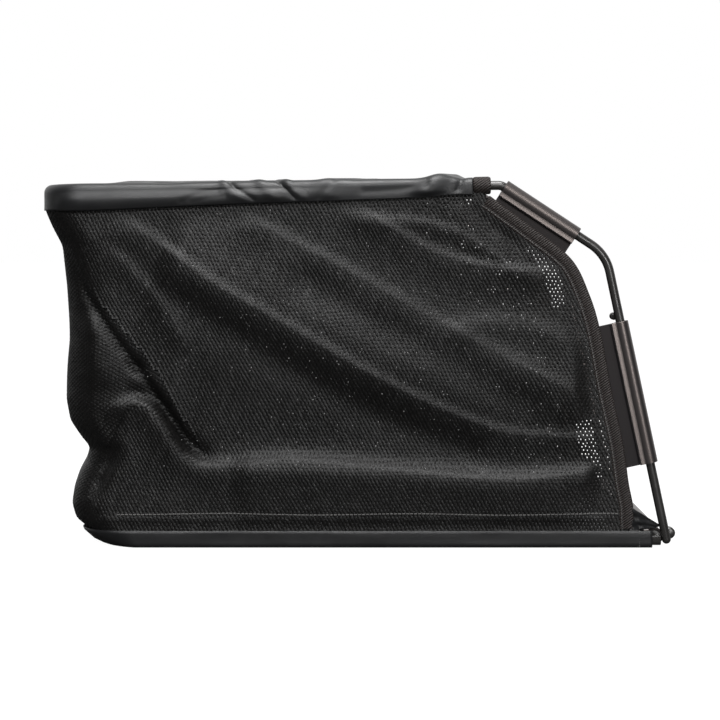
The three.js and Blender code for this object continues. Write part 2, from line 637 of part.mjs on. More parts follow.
function mirrored(geometry) {
  const copy = geometry.index ? geometry.toNonIndexed() : geometry.clone();
  const position = copy.getAttribute('position');
  for (let i = 0; i < position.count; i += 3) {
    const corner = (k) => new THREE.Vector3().fromBufferAttribute(position, i + k);
    const [a, b, c] = [corner(0), corner(2), corner(1)];
    [a, b, c].forEach((p, k) => position.setXYZ(i + k, p.x, -p.y, p.z));
  }
  return copy;
}

const group = new THREE.Group();

function add(name, geometry, finish) {
  const mesh = new THREE.Mesh(geometry, finish);
  mesh.name = name;
  group.add(mesh);
}

function addPair(name, geometry, finish) {
  add(`${name}_right`, geometry, finish);
  add(`${name}_left`, mirrored(geometry), finish);
}

add('upper_frame_wire', upperFrameWire(), PAINTED_STEEL);
add('lower_frame_wire', lowerFrameWire(), PAINTED_STEEL);
add('front_bottom_bar', frontBottomBar(), PAINTED_STEEL);
add('front_top_bar', frontTopBar(), PAINTED_STEEL);
addPair('stop_peg', stopPeg(), PAINTED_STEEL);
addPair('foot_boss', footBoss(), PAINTED_STEEL);
addPair('upper_side_clip', upperSideClip(), PLASTIC);
addPair('lower_side_clip', lowerSideClip(), PLASTIC);
add('bottom_clip', bottomClip(), PLASTIC);
addPair('side_net', sideNet(), NET);
add('back_net', backNet(), NET);
addPair('mouth_binding', mouthBinding(), TAPE);
add('top_cover', topCover(), COATED);
add('top_front_sleeve', topFrontSleeve(), TAPE);
addPair('corner_sleeve', cornerSleeve(), TAPE);
add('bottom_panel', bottomPanel(), COATED);
addPair('bottom_gusset', bottomGusset(), COATED);

// Stand the object on the middle of the underside of its bounding box
const bounds = new THREE.Box3().setFromObject(group);
const middle = bounds.getCenter(new THREE.Vector3());
group.position.set(-middle.x, -middle.y, -bounds.min.z);
group.updateMatrixWorld(true);

export default group;
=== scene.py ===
"""Scarifier collection box: net bag with coated top and floor on a bent wire frame.

Shapes are worked out in millimetres in the maker's frame, with +X to the mouth, -Y the right
hand side and +Z up, and are turned into metres in the row frame when a mesh is made.
"""
import math

import bmesh
import bpy
import numpy as np
from bpy.props import FloatProperty, FloatVectorProperty, PointerProperty
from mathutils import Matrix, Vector


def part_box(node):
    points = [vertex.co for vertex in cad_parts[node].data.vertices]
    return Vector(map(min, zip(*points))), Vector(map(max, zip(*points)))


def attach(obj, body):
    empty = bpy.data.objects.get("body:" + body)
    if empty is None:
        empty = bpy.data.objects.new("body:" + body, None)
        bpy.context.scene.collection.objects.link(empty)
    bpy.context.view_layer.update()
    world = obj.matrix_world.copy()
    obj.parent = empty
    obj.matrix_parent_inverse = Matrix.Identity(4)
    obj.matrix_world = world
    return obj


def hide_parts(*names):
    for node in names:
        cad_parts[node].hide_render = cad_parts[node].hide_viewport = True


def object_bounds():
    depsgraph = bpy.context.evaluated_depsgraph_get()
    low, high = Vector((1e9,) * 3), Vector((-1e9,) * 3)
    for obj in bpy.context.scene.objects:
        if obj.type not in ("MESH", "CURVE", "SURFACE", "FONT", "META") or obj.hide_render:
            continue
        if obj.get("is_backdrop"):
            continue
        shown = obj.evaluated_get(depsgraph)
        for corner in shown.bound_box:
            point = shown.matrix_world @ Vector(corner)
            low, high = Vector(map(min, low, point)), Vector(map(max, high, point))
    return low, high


bl_info = {
    "name": "Collection Box Builder",
    "version": (1, 0, 0),
    "blender": (4, 5, 0),
    "location": "View3D > Sidebar > Collection Box",
    "description": "Builds the cloth, wires and clips of a scarifier collection box",
    "category": "Add Mesh",
}

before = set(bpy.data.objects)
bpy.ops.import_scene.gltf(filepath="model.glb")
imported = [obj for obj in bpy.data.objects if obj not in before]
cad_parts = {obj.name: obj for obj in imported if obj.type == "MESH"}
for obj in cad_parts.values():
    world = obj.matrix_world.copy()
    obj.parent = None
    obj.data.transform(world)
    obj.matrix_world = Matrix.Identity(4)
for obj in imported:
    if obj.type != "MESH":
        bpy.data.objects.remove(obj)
CAD_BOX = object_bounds()
BODY = "root"
SIDES = {"right": 1, "left": -1}
MM = 0.001

# Sizes that the frame gives, and how far the maker's frame lies from the row frame, in millimetres


def cad_box(node):
    """Corners of a node's box in millimetres."""
    low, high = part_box(node)
    return np.array(low) / MM, np.array(high) / MM


BAR_LOW, BAR_HIGH = cad_box("front_top_bar")
UPPER_HIGH = cad_box("upper_frame_wire")[1]
FLOOR_HIGH = cad_box("bottom_panel")[1]
WIRE_R = (BAR_HIGH[2] - BAR_LOW[2]) / 2
SIDE_Y = UPPER_HIGH[1] - WIRE_R
STRIP_FRONT_X = 224
SHIFT_X = FLOOR_HIGH[0] - STRIP_FRONT_X

# Sizes of the frame's wires, pegs and bosses. Places are (x, z)
RAIL_FRONT = (106, 280.5)
RAIL_REAR = (-243, 275)
KNEE = (187, 227.5)
FOOT = (235.5, 6.2)
RAIL_BEND = 8
KNEE_BEND = 34
REAR_BEND = 26
LOWER_REAR_X = -202
LOWER_REAR_BEND = 30
GAP = 0.3
TOP_BAR_X = 91
BOTTOM_BAR = (229.5, 6.4)
BOSS = (238.5, 10.4)
BOSS_R = 4.6
BOSS_LENGTH = 8
SLEEVE_WALL = 3
PEG_Z = 179.5
PEG_R = 2.9
PEG_LENGTH = 8
BOTTOM_BAR_HALF = SIDE_Y - WIRE_R - GAP
LEG_LEAN = math.atan2(FOOT[0] - KNEE[0], KNEE[1] - FOOT[1])

# Sides of a round bar, steps of a bend, and how far an end stands out as a share of the radius
WIRE_SIDES = 28
BEND_STEPS = 14
FLAT_END = 0.1
STUD_END = 0.3
CAP_ANGLES = [math.radians(a) for a in (12, 30, 48, 66, 82)]

# Sizes of the clips. The upper one has its start along the wire and its length
CLIP_WALL = 2.2
CLIP_TAIL = 24
CLIP_NECK = 7.5
UPPER_CLIP = (2.7, 67)
LOWER_CLIP_LENGTH = 112
BOTTOM_CLIP_MARGIN = 20
CLIP_LIP = 2.8
CLIP_LIP_GAP = 1.2
CLIP_EDGE = 0.12
CLIP_STEPS = 44
CLIP_STATIONS = 4

# Sizes of the cloth
COATED = 1.2
CLOTH_GAP = 0.5
CLOTH_Y = SIDE_Y + WIRE_R + CLOTH_GAP + COATED
NET_Y = CLOTH_Y - COATED
STRIP_HEIGHT = 13.5
BINDING_WIDTH = 11
BAG_FOOT = STRIP_HEIGHT + GAP
BAG_TOP = 261
SHOULDER = WIRE_R + CLOTH_GAP + COATED
SKIRT_FLARE = 2.4
SLEEVE_R = WIRE_R + GAP + SLEEVE_WALL
COVER_FRONT_X = TOP_BAR_X - SLEEVE_R - GAP

# Rear end of the middle line on which the rows of the top and the floor end, and the place from which
# the net's own lengths are counted
SPINE_REAR_X = -55
NET_START_X = 230
NET_START_Z = 10

# Edge of the mouth and the seam under the cover, as (x, z)
MOUTH_EDGE = [
    (210, 15), (209, 33.5), (205.6, 51), (201, 82), (192, 122),
    (183, 168), (174, 197), (160, 224), (128.5, 249.5), (97, 272.5),
]
TOP_SEAM = [
    (-250, 261), (-211, 261), (-157, 263.5), (-93, 266.5),
    (25, 270), (67, 273), (84, 273.4), (98, 273.4),
]

# The rear of the bag as (z, x), and the radius of its corner as (z, radius)
REAR_OUTLINE = [
    (14, -217), (20, -226), (32, -229), (43, -227), (55, -222), (66, -216), (76, -214), (84, -221),
    (97, -230), (113, -233), (160, -231), (203, -233), (234, -236), (247, -242), (262, -248),
]
REAR_CORNER = [(14, 30), (60, 34), (120, 42), (200, 40), (262, 27)]

# Where the back net is sewn to the side net, as (z, x), and the lip of the fold under which that seam
# goes back to the corner: its top as (x, z) and its rear as (z, x)
REAR_SEAM = [
    (70, -124), (82, -128), (109, -144), (134, -157), (158, -175),
    (185, -198), (210, -216), (234, -230), (262, -243),
]
LIP_TOP = [(-186, 104), (-175, 113), (-163, 107), (-151, 90), (-138, 72), (-130, 66), (-124, 70)]
LIP_REAR = [(14, -218), (30, -216), (54, -206), (78, -198), (102, -186)]

# Folds of the side net: height, reach above and below the crest, and the crest as (x, z). Each fades
# out over the taper at its ends
SIDE_FOLDS = [
    (3.6, 5, 22, [
        (-196, 264), (-175, 248), (-118, 207), (-77, 183), (0, 138), (51, 112), (108, 90), (151, 86),
        (190, 84)]),
    (3.2, 5, 20, [
        (-98, 262), (-64, 241), (-11, 214), (57, 176), (112, 147), (151, 127), (182, 108), (200, 96)]),
    (3.4, 4.5, 17, [(-26, 276), (-9, 267), (15, 251), (57, 228), (96, 217), (125, 214), (155, 214)]),
    (2.4, 4, 9, [(-20, 262), (9, 257), (67, 246), (113, 219), (140, 205)]),
    (2.4, 4, 9, [(56, 276), (71, 268), (93, 251), (105, 239), (118, 222)]),
    (-4.5, 8, 8, [(70, 272), (84, 264), (98, 250), (114, 240), (126, 226)]),
    (2.6, 8, 12, [(60, 168), (100, 174), (132, 170), (160, 158), (184, 140)]),
    (1.5, 2.5, 4, [(-212, 22), (-100, 22), (0, 22), (100, 22.5), (206, 23)]),
    (-5.0, 50, 22, [(-150, 84), (-110, 82), (0, 78), (100, 70), (180, 72)]),
    (4.6, 5, 16, [
        (-204, 104), (-188, 110), (-175, 113), (-163, 107), (-138, 73), (-125, 64), (-106, 63), (-80, 66),
        (-52, 68), (32, 60), (112, 53), (164, 58), (186, 62)]),
    (-3.0, 14, 14, [(-160, 205), (-90, 160), (10, 105), (100, 70)]),
    (-2.5, 14, 14, [(-60, 215), (0, 180), (80, 138), (140, 105)]),
    (-3.2, 4, 4, [
        (-243, 250), (-228, 222), (-206, 182), (-180, 146), (-163, 122), (-146, 95), (-132, 70)]),
    (-5.0, 8, 8, [(-190, 82), (-203, 60), (-214, 34)]),
    (-5.0, 7, 5, [(-188, 120), (-170, 119), (-155, 105), (-140, 84), (-126, 72), (-112, 70)]),
    (-5.0, 6, 6, [(-186, 146), (-176, 141), (-164, 140)]),
    (2.0, 6, 12, [(-205, 235), (-180, 215), (-150, 180), (-135, 150)]),
    (3.0, 12, 12, [(-214, 186), (-206, 150), (-200, 120)]),
    (7.5, 36, 42, [(-160, 222), (-80, 192), (0, 154), (90, 128), (180, 122)]),
    (4.5, 12, 34, [(-104, 58), (0, 56), (100, 52), (184, 54)]),
]
FOLD_TAPER = 22

# Uneven waves: height, seed and scale of each layer
NET_WAVES = [(0.45, 3, 26), (0.25, 5, 9)]
BACK_WAVES = [(2.2, 11, 38), (0.8, 12, 14)]
TOP_WAVES = [(0.18, 21, 18)]

# How far in from an edge the net's folds reach their full height, with a flat strip at the mouth, and
# how far the middle of the back stands out
FOOT_FADE = 16
SEAM_FADE = 22
MOUTH_FADE = 22
MOUTH_FLAT = 8
BACK_BULGE = 9

# Wrinkles of the coated top: height, reach, and the crest as (x, distance up from the side seam)
TOP_WRINKLES = [
    (3.6, 8, [(47, 4), (58, 14), (66, 34), (96, 130)]),
    (-1.6, 3, [(72, 2), (76, 12), (84, 34)]),
    (1.0, 3, [(-112, 26), (-104, 12), (-89, 2)]),
    (-1.7, 2, [(-107, 26), (-99, 12), (-84, 2)]),
    (1.1, 4, [(-86, 30), (-78, 14), (-68, 3)]),
    (-1.7, 2, [(-72, 28), (-62, 12), (-52, 2)]),
    (1.0, 3, [(-66, 28), (-56, 12), (-46, 2)]),
    (-0.9, 2.5, [(-140, 3), (-128, 8), (-112, 10)]),
    (-0.9, 2.5, [(-132, 2), (-120, 5), (-106, 6)]),
    (-1.0, 3, [(-34, 2), (-26, 12), (-8, 30)]),
    (1.6, 9, [(-30, 8), (-12, 40), (30, 150)]),
    (1.8, 12, [(-180, 40), (-60, 120), (0, 190)]),
    (-1.6, 12, [(-150, 30), (-20, 110), (40, 190)]),
    (-0.8, 3, [(0, 6), (26, 7), (48, 9)]),
]


# Numbers


def mix(a, b, t):
    """Value at share t of the way from a to b."""
    return a + (b - a) * t


def smooth(t):
    """A soft step from 0 to 1."""
    t = np.clip(t, 0, 1)
    return t * t * (3 - 2 * t)


def rounded(pairs, reach):
    """A function through (position, value) pairs whose corners are rounded over a reach."""
    at = np.array([p[0] for p in pairs], float)
    value = np.array([p[1] for p in pairs], float)
    steps = np.arange(-2, 2.01, 0.25)
    weight = np.exp(-steps * steps)
    weight /= weight.sum()

    def value_at(t):
        t = np.asarray(t, float)
        return sum(w * np.interp(t + s * reach, at, value) for s, w in zip(steps, weight))

    return value_at


def nearest(line, x, z):
    """Signed distance of points to a line of (x, z) points, positive on its left, and how far along
    the line from the nearer end the closest place lies."""
    best = np.full(np.shape(x), 1e9)
    sign = np.ones(np.shape(x))
    along = np.zeros(np.shape(x))
    total = sum(math.dist(p, q) for p, q in zip(line, line[1:]))
    done = 0.0
    for (x0, z0), (x1, z1) in zip(line, line[1:]):
        dx, dz = x1 - x0, z1 - z0
        length = math.hypot(dx, dz)
        t = np.clip(((x - x0) * dx + (z - z0) * dz) / length ** 2, 0, 1)
        distance = np.hypot(x - x0 - t * dx, z - z0 - t * dz)
        side = np.where(dx * (z - z0) - dz * (x - x0) >= 0, 1, -1)
        nearer = distance < best
        best = np.where(nearer, distance, best)
        sign = np.where(nearer, side, sign)
        along = np.where(nearer, done + t * length, along)
        done += length
    return best * sign, np.minimum(along, total - along)


def crease(line, x, z):
    """Signed distance of points to a line of (x, z) points: positive on the upper side."""
    return nearest(line, x, z)[0]


def ripple(x, z, seed, scale):
    """Gentle uneven waves between about -1 and 1, the same on each run."""
    rng = np.random.default_rng(seed)
    total = np.zeros(np.shape(x))
    for _ in range(7):
        angle, phase, stretch = rng.uniform(0, math.tau, 2).tolist() + [rng.uniform(0.6, 1.7)]
        total += np.sin((x * math.cos(angle) + z * math.sin(angle)) * stretch / scale + phase)
    return total / 4


seam_height = rounded(TOP_SEAM, 6)
rear_x = rounded(REAR_OUTLINE, 3)
rear_radius = rounded(REAR_CORNER, 12)


def waves(x, z, layers):
    """Ripples of several layers together."""
    return sum(height * ripple(x, z, seed, scale) for height, seed, scale in layers)


def straight(pairs, t):
    """Value at t on straight lines through (position, value) pairs."""
    at, value = zip(*pairs)
    return np.interp(t, at, value)


def sideways(along):
    """Unit directions along a line and to its right."""
    along = along / np.linalg.norm(along, axis=1)[:, None]
    return along, np.column_stack([along[:, 1], -along[:, 0]])


def smooth_line(points, count):
    """A list of (x, z) points on a smooth curve through the given ones, evenly spaced."""
    points = np.array(points, float)
    padded = np.vstack([2 * points[0] - points[1], points, 2 * points[-1] - points[-2]])
    dense = []
    for i in range(1, len(padded) - 2):
        p0, p1, p2, p3 = padded[i - 1:i + 3]
        for t in np.linspace(0, 1, 16, endpoint=False):
            dense.append(0.5 * (2 * p1 + (p2 - p0) * t + (2 * p0 - 5 * p1 + 4 * p2 - p3) * t * t
                                + (3 * p1 - p0 - 3 * p2 + p3) * t ** 3))
    dense.append(points[-1])
    dense = np.array(dense)
    length = np.concatenate([[0], np.cumsum(np.linalg.norm(np.diff(dense, axis=0), axis=1))])
    even = np.linspace(0, length[-1], count)
    return np.column_stack([np.interp(even, length, dense[:, k]) for k in range(dense.shape[1])])


MOUTH_LINE = smooth_line(MOUTH_EDGE, 160)


def mouth_frame():
    """Points of the mouth edge and the unit direction into the bag at each."""
    _, outward = sideways(np.gradient(MOUTH_LINE, axis=0))
    return MOUTH_LINE, -outward


def mouth_distance(x, z):
    """How far inside the mouth edge points lie, negative outside."""
    below = tuple(MOUTH_LINE[0] + (3, -25))
    beyond = tuple(MOUTH_LINE[-1] + (-9, 20))
    return crease([below, *(tuple(p) for p in MOUTH_LINE[::4]), beyond], x, z)


# Shape of the loose net


def fold_relief(x, z):
    """How far the net stands out of the flat side at a place."""
    relief = waves(x, z, NET_WAVES)
    for height, above, below, line in SIDE_FOLDS:
        distance, along = nearest(smooth_line(line, 30).tolist(), x, z)
        reach = np.where(distance > 0, above, below)
        relief = relief + height * np.exp(-((distance / reach) ** 2)) * smooth((along + 2) / FOLD_TAPER)
    return relief


def net_skin(s, z):
    """Point of the right half of the net: s runs from the mouth to the rear, round the corner and
    along the back. Returns the points and their outward directions."""
    rear = rear_x(z)
    radius = rear_radius(z)
    corner_x = rear + radius
    flat_length = NET_START_X - corner_x
    arc_length = radius * math.pi / 2
    flat_y = NET_Y - radius
    angle = np.clip((s - flat_length) / radius, 0, math.pi / 2)
    past = np.clip(s - flat_length - arc_length, 0, None)
    x = np.where(s < flat_length, NET_START_X - s, corner_x - radius * np.sin(angle))
    y = -flat_y - radius * np.cos(angle) + past
    nx, ny = -np.sin(angle), -np.cos(angle)
    fade = smooth((z - BAG_FOOT) / FOOT_FADE) * smooth((seam_height(x) - z) / SEAM_FADE)
    mouth_fade = smooth((mouth_distance(x, z) - MOUTH_FLAT) / MOUTH_FADE)
    side_share = smooth((math.pi / 2 - angle) / 1.2)
    out = fold_relief(x, z) * fade * mouth_fade * side_share
    rise = (z - BAG_FOOT) / (BAG_TOP - BAG_FOOT)
    crown = 1 - (np.clip(y, -flat_y, 0) / flat_y) ** 2
    bulge = BACK_BULGE * crown * smooth(rise * 5) * smooth((1 - rise) * 5)
    back = smooth((angle - 0.9) / 0.6)
    slack = back * fade * waves(y, z, BACK_WAVES)
    out = out + back * bulge + slack
    points = np.stack([x + nx * out, y + ny * out, z + 0 * x], -1)
    return points, np.stack([nx, ny, 0 * nx], -1)


def half_girth(z):
    """Length of the net at a height, from the mouth round the corner to the middle of the back."""
    radius = rear_radius(z)
    return NET_START_X - rear_x(z) - radius + radius * math.pi / 2 + NET_Y - radius


def behind_seam(x, z):
    """True where a place on the side belongs to the back net."""
    return np.where(z > straight(LIP_TOP, x), x < straight(REAR_SEAM, z), x < straight(LIP_REAR, z))


# Meshes


def to_metres(points):
    """Points of the maker's frame in metres of the row frame."""
    return (np.asarray(points, float) + (SHIFT_X, 0, 0)) * MM


def link_piece(name, mesh, material):
    mesh.polygons.foreach_set("use_smooth", [True] * len(mesh.polygons))
    mesh.materials.append(material)
    piece = bpy.data.objects.new(name, mesh)
    bpy.context.scene.collection.objects.link(piece)
    return piece


def new_object(name, vertices, faces, material):
    mesh = bpy.data.meshes.new(name)
    mesh.from_pydata([tuple(v) for v in to_metres(vertices)], [], [tuple(int(i) for i in f) for f in faces])
    mesh.validate()
    mesh.update()
    return link_piece(name, mesh, material)


def mirrored(vertices, faces):
    """A mesh's mirror image on the other side of the box."""
    return np.asarray(vertices) * (1, -1, 1), [tuple(reversed(f)) for f in faces]


def finish_piece(piece, nodes=()):
    """Attaches a piece to the body and hides the nodes that it stands for."""
    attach(piece, BODY)
    if nodes:
        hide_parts(*nodes)
    return piece


def add_pair(name, part, kind, node):
    """A piece on the right hand side and its mirror image on the left."""
    for side, shape in (("right", part), ("left", mirrored(*part))):
        finish_piece(new_object(f"{name}_{side}", *shape, finish_of(kind)), [f"{node}_{side}"])


def grid_faces(columns, rows, wrap=False):
    """Quads of a grid of points stored row by row, with columns points in a row."""
    faces = []
    for j in range(rows - 1):
        for i in range(columns if wrap else columns - 1):
            a = j * columns + i
            b = j * columns + (i + 1) % columns
            faces.append((a, b, b + columns, a + columns))
    return faces


def capped_faces(columns, rows):
    """Faces of a tube of rings with both its ends closed."""
    last = (rows - 1) * columns
    ends = [tuple(range(columns))[::-1], tuple(range(last, last + columns))]
    return grid_faces(columns, rows, wrap=True) + ends


def bent_path(corners, bends):
    """Points of a path whose inner corners are rounded to the given radii."""
    corners = [Vector(c) for c in corners]
    points = [corners[0]]
    for i in range(1, len(corners) - 1):
        back = (corners[i - 1] - corners[i]).normalized()
        ahead = (corners[i + 1] - corners[i]).normalized()
        half = back.angle(ahead) / 2
        centre = corners[i] + (back + ahead).normalized() * (bends[i - 1] / math.sin(half))
        start = corners[i] + back * (bends[i - 1] / math.tan(half)) - centre
        end = corners[i] + ahead * (bends[i - 1] / math.tan(half)) - centre
        sweep = start.angle(end)
        for k in range(BEND_STEPS + 1):
            t = k / BEND_STEPS
            points.append(centre + start * (math.sin((1 - t) * sweep) / math.sin(sweep))
                          + end * (math.sin(t * sweep) / math.sin(sweep)))
    return points + [corners[-1]]


def bar_mesh(points, radius, dome=1.0):
    """A round bar along points, whose ends stand out by dome times its radius."""
    points = [Vector(p) for p in points]
    last = len(points) - 1
    directions = [(points[min(i + 1, last)] - points[max(i - 1, 0)]).normalized() for i in range(last + 1)]
    rings = [(p, d, radius) for p, d in zip(points, directions)]

    def cap(p, d, way):
        return [(p + d * (way * radius * dome * math.sin(a)), d, radius * math.cos(a)) for a in CAP_ANGLES]

    rings = cap(points[0], directions[0], -1)[::-1] + rings + cap(points[-1], directions[-1], 1)
    side = Vector((0, 1, 0)) if abs(directions[0].y) < 0.9 else Vector((0, 0, 1))
    vertices = []
    for p, d, r in rings:
        side = (side - d * side.dot(d)).normalized()
        up = d.cross(side)
        for k in range(WIRE_SIDES):
            a = math.tau * k / WIRE_SIDES
            vertices.append(tuple(p + (side * math.cos(a) + up * math.sin(a)) * r))
    return vertices, capped_faces(WIRE_SIDES, len(rings))


# Materials

FINISHES = {}
RIB_SLANT = math.radians(35)


def new_material(name, color, roughness, **sockets):
    """A material, its node tree and its shader with the given sockets set."""
    material = bpy.data.materials.new(name)
    material.use_nodes = True
    shader = material.node_tree.nodes["Principled BSDF"]
    shader.inputs["Base Color"].default_value = (*color, 1)
    shader.inputs["Roughness"].default_value = roughness
    for socket, value in sockets.items():
        shader.inputs[socket.replace("_", " ")].default_value = value
    return material, material.node_tree, shader


def add_node(tree, kind, **values):
    """A node whose inputs, or else its own settings, have the given values."""
    node = tree.nodes.new(kind)
    for key, value in values.items():
        if key in node.inputs:
            node.inputs[key].default_value = value
        else:
            setattr(node, key, value)
    return node


def noise(tree, scale, detail=3):
    """Noise on the object's own coordinates."""
    coords = add_node(tree, "ShaderNodeTexCoord")
    texture = add_node(tree, "ShaderNodeTexNoise", Scale=scale, Detail=detail)
    tree.links.new(coords.outputs["Object"], texture.inputs["Vector"])
    return texture


def vary(tree, shader, texture, socket, low, high, low_at=0.35, high_at=0.65):
    """Drives a colour or a roughness from a texture, between two values."""
    ramp = add_node(tree, "ShaderNodeValToRGB")
    for element, position, value in zip(ramp.color_ramp.elements, (low_at, high_at), (low, high)):
        element.position = position
        element.color = (*value, 1) if isinstance(value, tuple) else (value, value, value, 1)
    tree.links.new(texture.outputs["Fac"], ramp.inputs["Fac"])
    tree.links.new(ramp.outputs["Color"], shader.inputs[socket])


def add_bump(tree, shader, heights, distance, strength=1.0):
    """Bump from a height output."""
    bump = add_node(tree, "ShaderNodeBump", Distance=distance, Strength=strength)
    tree.links.new(heights, bump.inputs["Height"])
    tree.links.new(bump.outputs["Normal"], shader.inputs["Normal"])


def shade(color, factor):
    """A colour made darker or lighter."""
    return tuple(min(1.0, c * factor) for c in color)


def net_material(color):
    material, tree, shader = new_material(
        "knitted_net", color, 0.4, Sheen_Weight=0.01, Sheen_Roughness=0.35, Specular_IOR_Level=0.2)
    vary(tree, shader, noise(tree, 700, detail=2), "Base Color", shade(color, 0.55), shade(color, 1.9))
    add_bump(tree, shader, noise(tree, 1600, detail=2).outputs["Fac"], 0.0004, 0.7)
    return material


def coated_material(color):
    material, tree, shader = new_material("coated_cloth", color, 0.42, Specular_IOR_Level=0.28)
    vary(tree, shader, noise(tree, 60), "Roughness", 0.36, 0.48)
    vary(tree, shader, noise(tree, 25), "Base Color", shade(color, 0.85), shade(color, 1.15))
    weave = add_node(tree, "ShaderNodeMath", operation="ADD")
    coords = add_node(tree, "ShaderNodeTexCoord")
    for i, axis in enumerate(("X", "Z")):
        wave = add_node(tree, "ShaderNodeTexWave", Scale=420, Distortion=1.5, bands_direction=axis)
        tree.links.new(coords.outputs["Object"], wave.inputs["Vector"])
        tree.links.new(wave.outputs["Fac"], weave.inputs[i])
    add_bump(tree, shader, weave.outputs["Value"], 0.00006, 0.5)
    return material


def tape_material(color):
    material, tree, shader = new_material(
        "ribbed_tape", color, 0.5, Sheen_Weight=0.02, Specular_IOR_Level=0.15)
    coords = add_node(tree, "ShaderNodeTexCoord")
    slant = add_node(tree, "ShaderNodeMapping", Rotation=(0, RIB_SLANT, 0))
    ribs = add_node(tree, "ShaderNodeTexWave", Scale=190, Distortion=1.2, Detail=1, bands_direction="Z")
    ribs.inputs["Detail Scale"].default_value = 3
    tree.links.new(coords.outputs["Object"], slant.inputs["Vector"])
    tree.links.new(slant.outputs["Vector"], ribs.inputs["Vector"])
    # The rib wave also sets the colour, darker in the hollows and lighter on the crests: painted shade and
    # painted highlight on the ribs.
    vary(tree, shader, ribs, "Base Color", shade(color, 0.45), shade(color, 1.8), 0.15, 0.85)
    add_bump(tree, shader, ribs.outputs["Fac"], 0.0005, 0.9)
    return material


def paint_material(color):
    material, tree, shader = new_material("painted_wire", color, 0.32, Specular_IOR_Level=0.7, Metallic=0.35)
    vary(tree, shader, noise(tree, 90), "Roughness", 0.26, 0.42)
    add_bump(tree, shader, noise(tree, 900).outputs["Fac"], 0.00012, 0.35)
    return material


def clip_material(color):
    material, tree, shader = new_material(
        "clip_plastic", color, 0.42, Specular_IOR_Level=1.0, Specular_Tint=(1, 0.86, 0.8, 1))
    gloss = add_node(tree, "ShaderNodeAttribute", attribute_name="gloss")
    for socket, matt, glossy in (("Roughness", 0.55, 0.37), ("Specular IOR Level", 0.15, 1.0)):
        level = add_node(tree, "ShaderNodeMapRange", **{"To Min": matt, "To Max": glossy})
        tree.links.new(gloss.outputs["Fac"], level.inputs["Value"])
        tree.links.new(level.outputs["Result"], shader.inputs[socket])
    return material


def thread_material(color):
    material, tree, shader = new_material("thread", color, 0.5, Sheen_Weight=0.3)
    add_bump(tree, shader, noise(tree, 3000).outputs["Fac"], 0.0001, 0.5)
    return material


def finish_of(kind):
    """The material of a kind, made on its first use from the panel's colours."""
    makers = {
        "net": net_material, "coated": coated_material, "tape": tape_material,
        "paint": paint_material, "clip": clip_material, "thread": thread_material,
    }
    key = f"made_{kind}"
    if key not in FINISHES:
        FINISHES[key] = makers[kind](tuple(getattr(bpy.context.scene.box_colours, kind)))
    return FINISHES[key]


# Wires, pegs and clips


def side_point(xz, side=1):
    """A point of the wire's side, on the right hand where side is 1."""
    return (xz[0], -SIDE_Y * side, xz[1])


def leg_x(z):
    """Place of the leg's middle at a height."""
    return mix(FOOT[0], KNEE[0], (z - FOOT[1]) / (KNEE[1] - FOOT[1]))


def rail_z(x):
    """Height of the upper rail's middle at a place along the box."""
    return mix(RAIL_REAR[1], RAIL_FRONT[1], (x - RAIL_REAR[0]) / (RAIL_FRONT[0] - RAIL_REAR[0]))


def wire_pieces():
    """The wires, bars, pegs and bosses, each as a name, its mesh and its nodes."""
    corners = [side_point(p) for p in (FOOT, KNEE, RAIL_FRONT, RAIL_REAR)]
    corners += [side_point(p, -1) for p in (RAIL_REAR, RAIL_FRONT, KNEE, FOOT)]
    bends = [KNEE_BEND, RAIL_BEND, REAR_BEND, REAR_BEND, RAIL_BEND, KNEE_BEND]
    yield "upper_wire", bar_mesh(bent_path(corners, bends), WIRE_R), ["upper_frame_wire"]
    lower_z = COATED + CLOTH_GAP + WIRE_R
    front_x = FOOT[0] - (WIRE_R + GAP) / math.cos(LEG_LEAN) - WIRE_R * math.tan(LEG_LEAN)
    ends = [(front_x, -SIDE_Y, lower_z), (LOWER_REAR_X, -SIDE_Y, lower_z)]
    lower = bent_path(ends + [(x, -y, z) for x, y, z in reversed(ends)], [LOWER_REAR_BEND] * 2)
    yield "lower_wire", bar_mesh(lower, WIRE_R, FLAT_END), ["lower_frame_wire"]
    bar = [(BOTTOM_BAR[0], y, BOTTOM_BAR[1]) for y in (-BOTTOM_BAR_HALF, BOTTOM_BAR_HALF)]
    yield "bottom_bar", bar_mesh(bar, WIRE_R, FLAT_END), ["front_bottom_bar"]
    half = SIDE_Y - SLEEVE_R - GAP
    bar = [(TOP_BAR_X, y, rail_z(TOP_BAR_X)) for y in (-half, half)]
    yield "top_bar", bar_mesh(bar, WIRE_R, FLAT_END), ["front_top_bar"]
    studs = {"peg": (leg_x(PEG_Z) - WIRE_R, PEG_Z, PEG_R, PEG_LENGTH), "boss": (*BOSS, BOSS_R, BOSS_LENGTH)}
    nodes = {"peg": "stop_peg", "boss": "foot_boss"}
    for kind, (x, z, radius, length) in studs.items():
        for name, side in SIDES.items():
            start = -SIDE_Y + WIRE_R + GAP + radius * STUD_END
            stop = start + length - 2 * radius * STUD_END
            stud = [(x, start * side, z), (x, stop * side, z)]
            yield f"{kind}_{name}", bar_mesh(stud, radius, STUD_END), [f"{nodes[kind]}_{name}"]


